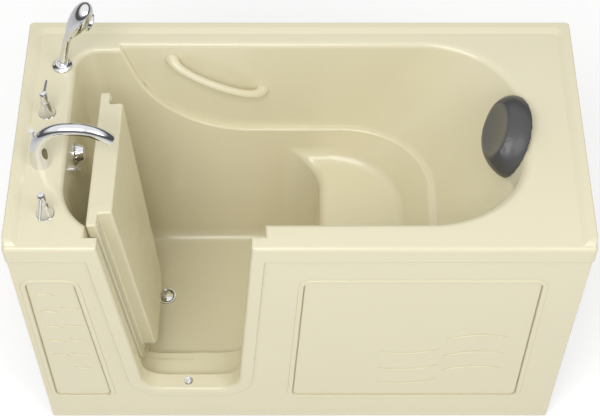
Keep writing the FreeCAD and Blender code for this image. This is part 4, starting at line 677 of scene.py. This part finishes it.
# domed spray plate with a middle nozzle and three rings of them
sprayMake = {"plate": [(21.0, 29.0), (21.0, 32.0), (20.0, 32.6), (12.0, 33.2), (1.0, 33.6)], "plateSides": 48,
             "nozzle": [(1.35, 0.0), (1.2, 0.9), (0.85, 1.7), (0.5, 1.75)], "nozzleSides": 10,
             "rings": [(0.0, 1), (6.4, 6), (11.6, 12), (16.8, 18)], "crown": 33.6, "fall": 0.055}
plate = turnPiece("sprayPlate", sprayMake["plate"], sprayMake["plateSides"])
nozzleSpots = []
for reach, count in sprayMake["rings"]:
    for i in range(count):
        swing = 2 * math.pi * i / count
        nozzleSpots.append((mm(reach) * math.cos(swing), mm(reach) * math.sin(swing),
                            mm(sprayMake["crown"] - reach * sprayMake["fall"])))
nozzle = turnPiece("nozzle", sprayMake["nozzle"], sprayMake["nozzleSides"])
spray = gather("sprayFace", [plate] + strew(nozzle, nozzleSpots))
settle(spray, podFoot, showerMake["podLean"])
dress(spray, "spray_face", "spray", "turned")
print("taps and hand shower modelled")

# grab bar: a slim bow that flares into its two feet
barMake = {"spot": (-0.23526, 0.29463, 0.83410), "lean": 86.566, "tilt": -27.3, "sides": 32, "levels": 1,
           "half": [(141.0, -1.0, 0.0, 21.5), (140.6, 2.0, 0.0, 20.6), (137.5, 8.0, 14.0, 18.2),
                    (132.0, 15.0, 32.0, 15.8), (123.0, 22.0, 50.0, 14.0), (110.0, 28.5, 62.0, 12.8),
                    (92.0, 34.5, 71.0, 12.0), (68.0, 39.6, 78.5, 11.6), (36.0, 43.4, 84.5, 11.4)],
           "middle": (0.0, 44.6, 90.0, 11.4)}
bow = [(-x, z, tilt, radius) for x, z, tilt, radius in barMake["half"]] + [barMake["middle"]]
bow += [(x, z, 180.0 - tilt, radius) for x, z, tilt, radius in reversed(barMake["half"])]
bar = drawTube("grabBow", bow, None, barMake["sides"])
roundOff(bar, barMake["levels"])
place(bar, Matrix.Translation(barMake["spot"]) @ turned(barMake["lean"], "X") @ turned(barMake["tilt"], "Z"))
dress(bar, "grab_bar", "acrylic", "moulded")

# a low bead frames each access panel; corners go round from the lower left
beadMake = {"face": -0.3724, "proud": 4.4, "wide": 13.0, "corner": 34.0, "cornerSteps": 8,
            "edge": (3.2, 4, 26.0),
            "panels": {"left": [(-742.0, 130.0), (-548.5, 130.0), (-585.0, 798.0), (-742.0, 798.0)],
                       "right": [(-38.0, 130.0), (659.0, 130.0), (659.0, 798.0), (-1.0, 798.0)]}}
for sideName, corners in beadMake["panels"].items():
    dropAll()
    bpy.ops.mesh.primitive_plane_add(size=1.0, location=(0, 0, 0), rotation=(math.radians(90), 0, 0))
    bead = bpy.context.object
    bead.name = "panelBead_" + sideName
    bpy.ops.object.transform_apply(location=True, rotation=True, scale=True)
    for point in bead.data.vertices:  # its four corners go to the panel's
        lowerLeft, lowerRight, upperRight, upperLeft = corners
        rights, lefts = (upperRight, upperLeft) if point.co.z > 0 else (lowerRight, lowerLeft)
        corner = rights if point.co.x > 0 else lefts
        point.co = (mm(corner[0]), beadMake["face"], mm(corner[1]))
    openMesh(bead)
    bpy.ops.mesh.bevel(offset=mm(beadMake["corner"]), segments=beadMake["cornerSteps"], affect="VERTICES")
    bpy.ops.mesh.select_all(action="SELECT")
    bpy.ops.mesh.inset(thickness=mm(beadMake["wide"]))
    bpy.ops.mesh.delete(type="FACE")
    bpy.ops.mesh.select_all(action="SELECT")
    bpy.ops.mesh.extrude_region_move(TRANSFORM_OT_translate={"value": (0, -mm(beadMake["proud"]), 0)})
    closeUp()
    crispen(bead, *beadMake["edge"])
    dress(bead, "front_apron", "acrylic", "moulded", standsFor=False)

# strainer in the sill drain
sillMake = {"outline": [(7.4, 0.0), (7.4, 1.4), (6.4, 2.0), (5.6, 2.0), (5.4, 1.0), (3.8, 1.0), (3.6, 2.0),
                        (2.0, 2.2), (0.4, 2.3)], "sides": 32, "down": 4.6}
sillGrid = turnPiece("sillStrainer", sillMake["outline"], sillMake["sides"])
sillLow, sillHigh = boxOf("sill_drain")
sillSpot = (sillLow + sillHigh) / 2
settle(sillGrid, (sillSpot.x, sillSpot.y, sillHigh.z - mm(sillMake["down"])))
dress(sillGrid, "sill_drain", "chrome", "turned", standsFor=False)
print("bar, beads and strainer modelled")

# weld beads where the posts, bearers and seat supports stand on the rails: on both sides of a member,
# or on the one side that a post at the rail's end leaves free
weldMake = {"row": [(1.0, -13.5), (2.4, -12.2)] + [(2.5 + 0.5 * (i % 2), -11.0 + 2.0 * i) for i in range(12)]
                   + [(2.4, 12.2), (1.0, 13.5)],
            "sides": 10, "lay": 90.0, "off": 0.6, "rails": ("front_rail", "rear_rail"),
            "both": ("floor_bearer_1", "floor_bearer_2", "floor_bearer_3", "front_seat_support",
                     "rear_seat_support"),
            "left": ("front_right_post", "rear_right_post"), "right": ("front_left_post", "rear_left_post")}
weldSpots = []
for rail in weldMake["rails"]:
    railLow, railHigh = boxOf(rail)
    railMiddle, beadHigh = (railLow.y + railHigh.y) / 2, railHigh.z + mm(weldMake["off"])
    for member in weldMake["both"] + weldMake["left"] + weldMake["right"]:
        small, large = boxOf(member)
        if small.y > railHigh.y or large.y < railLow.y:
            continue
        rows = [small.x - mm(weldMake["off"])] if member not in weldMake["right"] else []
        rows += [large.x + mm(weldMake["off"])] if member not in weldMake["left"] else []
        weldSpots += [Vector((x, railMiddle, beadHigh)) for x in rows]
weld = turnPiece("frameWelds", weldMake["row"], weldMake["sides"])
settle(weld, (0, 0, 0), weldMake["lay"], "X")
welds = gather("frameWelds", strew(weld, weldSpots))
dress(welds, "front_rail", "steel", "soft", standsFor=False)
print("welds laid:", len(weldSpots))

# head pad: the foam swells against its skin, held along the back
padMake = {"spot": (0.57875, 0.010, 0.915), "lean": -58.0, "turn": -14.0, "voxel": 0.0045, "cap": 0.005,
           "pressure": 3.0, "frames": 18, "backward": 0.1, "levels": 1,
           "deep": 50.0, "rise": 12.0, "faceWide": 62.0, "faceLong": 85.0, "point": 0.22, "long": 122.0,
           # the last four keys set the painted highlight on the dished face: its inset, its fade, how far out
           # it starts, and its colour
           "highlightInset": 3.0, "highlightFade": (0.86, 0.98), "highlightFrom": (0.030, 0.036),
           "paintedHighlightColour": (0.128, 0.125, 0.110, 1)}
padFrame = Matrix.Translation(padMake["spot"]) @ turned(padMake["lean"]) @ turned(padMake["turn"], "Z")
headPad = mergedCopy("headrest", "headPad")
takeUp(headPad)
grain = headPad.modifiers.new("grain", "REMESH")
grain.mode = "VOXEL"
grain.voxel_size = padMake["voxel"]
bpy.ops.object.modifier_apply(modifier=grain.name)
offWall = padFrame.to_3x3() @ Vector((0, 0, 1))
held = headPad.vertex_groups.new(name="held")
toPad = padFrame.inverted()
for vertex in headPad.data.vertices:
    held.add([vertex.index], 1.0 if vertex.normal.dot(offWall) < padMake["backward"] else 0.0, "REPLACE")
for vertex in headPad.data.vertices:  # a broad dished face, and ends drawn to a point
    across, along, out = [value * 1000 for value in toPad @ vertex.co]
    bowl = (along / padMake["faceLong"]) ** 2 + (across / padMake["faceWide"]) ** 2
    face = padMake["deep"] + padMake["rise"] * bowl
    across *= 1.0 - padMake["point"] * (along / padMake["long"]) ** 2
    vertex.co = padFrame @ Vector((mm(across), mm(along), mm(min(out, face))))
before = [vertex.co.copy() for vertex in headPad.data.vertices]
swelling = headPad.modifiers.new("swelling", "CLOTH")
swelling.settings.use_pressure = True
swelling.settings.uniform_pressure_force = padMake["pressure"]
swelling.settings.vertex_group_mass = "held"
swelling.settings.effector_weights.gravity = 0.0
for step in range(1, padMake["frames"] + 1):
    bpy.context.scene.frame_set(step)
takeUp(headPad)
bpy.ops.object.modifier_apply(modifier=swelling.name)
bpy.context.scene.frame_set(1)
for vertex, start in zip(headPad.data.vertices, before):
    move = vertex.co - start
    if move.length > padMake["cap"]:
        vertex.co = start + move.normalized() * padMake["cap"]
roundOff(headPad, padMake["levels"])
smooth(headPad, "soft")

# the pad's dished face is painted paler: a painted highlight on the dark skin, faded in over the dish and
# towards its front
padSkin = finish["pad"].node_tree
padColour = shaderOf(finish["pad"]).inputs["Base Color"]
highlightPlace = addNode(padSkin, "ShaderNodeMapping", vector_type="TEXTURE")
padSkin.links.new(addNode(padSkin, "ShaderNodeTexCoord").outputs["Object"], highlightPlace.inputs["Vector"])
highlightPlace.inputs["Location"].default_value = padMake["spot"]
highlightPlace.inputs["Rotation"].default_value = padFrame.to_euler()
highlightPlace.inputs["Scale"].default_value = (mm(padMake["faceWide"] - padMake["highlightInset"]),
                                          mm(padMake["faceLong"] - padMake["highlightInset"]), 1.0)
highlightSplit = addNode(padSkin, "ShaderNodeSeparateXYZ")
padSkin.links.new(highlightPlace.outputs["Vector"], highlightSplit.inputs["Vector"])
reach = sums(padSkin, "ADD", sums(padSkin, "MULTIPLY", highlightSplit.outputs["X"], highlightSplit.outputs["X"]),
             sums(padSkin, "MULTIPLY", highlightSplit.outputs["Y"], highlightSplit.outputs["Y"]))
# inside is the mask of the painted highlight over the dished face
inside = sums(padSkin, "MULTIPLY", ramp(padSkin, reach, *padMake["highlightFade"], 1.0, 0.0),
              ramp(padSkin, highlightSplit.outputs["Z"], *padMake["highlightFrom"]))
plain = padColour.links[0].from_socket
padSkin.links.new(blendColour(padSkin, inside, plain, padMake["paintedHighlightColour"]), padColour)
print("head pad swollen:", len(headPad.data.vertices), "points")


# studio: two softboxes, a white room and a pale floor
def addSoftbox(name, spot, aim, size, watts):
    light = bpy.data.lights.new(name, "AREA")
    light.shape = "RECTANGLE"
    light.size, light.size_y = size
    light.energy = watts
    obj = bpy.data.objects.new(name, light)
    obj.location = spot
    obj.rotation_euler = (Vector(aim) - Vector(spot)).to_track_quat("-Z", "Y").to_euler()
    bpy.context.scene.collection.objects.link(obj)


softboxes = {"keyBox": {"spot": (-0.9, -2.3, 4.0), "aim": (0, 0, 0.5), "size": (2.4, 2.0), "watts": 66.0},
             "fillBox": {"spot": (1.9, -2.1, 3.3), "aim": (-0.1, 0, 0.5), "size": (2.0, 2.0), "watts": 28.0}}
for name, box in softboxes.items():
    addSoftbox(name, **box)

room = {"white": (1, 1, 1, 1), "sky": 0.58, "wallTone": 0.10, "wallTop": (0.30, 0.58),
        "floor": (0.86, 0.86, 0.86, 1), "floorSize": 60.0, "floorRough": 0.9, "glow": 0.34}
world = bpy.data.worlds.new("studioWorld")
world.use_nodes = True
bpy.context.scene.world = world
sky = world.node_tree
background = [node for node in sky.nodes if node.type == "BACKGROUND"][0]
background.inputs["Color"].default_value = room["white"]
rays = addNode(sky, "ShaderNodeLightPath")
height = addNode(sky, "ShaderNodeSeparateXYZ")
sky.links.new(addNode(sky, "ShaderNodeTexCoord").outputs["Generated"], height.inputs["Vector"])
# a white ceiling, darker walls
walls = ramp(sky, height.outputs["Z"], *room["wallTop"], room["wallTone"], 1.0)
seen = sums(sky, "MAXIMUM", rays.outputs["Is Camera Ray"], rays.outputs["Is Transmission Ray"])
mirrored = ramp(sky, rays.outputs["Is Glossy Ray"], 0.0, 1.0, room["sky"], walls)
sky.links.new(ramp(sky, seen, 0.0, 1.0, mirrored, 1.0), background.inputs["Strength"])

dropAll()
bpy.ops.mesh.primitive_plane_add(size=room["floorSize"], location=(0, 0, 0))
floor = bpy.context.object
floor.name = "studioFloor"
floorMat = bpy.data.materials.new("paleFloor")
floorMat.use_nodes = True
floorShader = shaderOf(floorMat)
floorShader.inputs["Base Color"].default_value = room["floor"]
floorShader.inputs["Roughness"].default_value = room["floorRough"]
floorShader.inputs["Emission Color"].default_value = room["white"]
floorRays = addNode(floorMat.node_tree, "ShaderNodeLightPath")
floorGlow = sums(floorMat.node_tree, "MULTIPLY", floorRays.outputs["Is Camera Ray"], room["glow"])
floorMat.node_tree.links.new(floorGlow, floorShader.inputs["Emission Strength"])
floor.data.materials.append(floorMat)

camera = {"spot": (-0.0033, -2.4124, 4.1184), "tilt": 34.296, "lens": 88.64, "sensor": 36.0, "shift": 0.0026}
lens = bpy.data.cameras.new("photoCamera")
lens.lens = camera["lens"]
lens.sensor_width = camera["sensor"]
lens.shift_x = camera["shift"]
viewer = bpy.data.objects.new("photoCamera", lens)
viewer.location = camera["spot"]
viewer.rotation_euler = (math.radians(camera["tilt"]), 0, 0)
bpy.context.scene.collection.objects.link(viewer)
bpy.context.scene.camera = viewer
bpy.context.scene.view_settings.view_transform = "Standard"
print("studio and camera set")
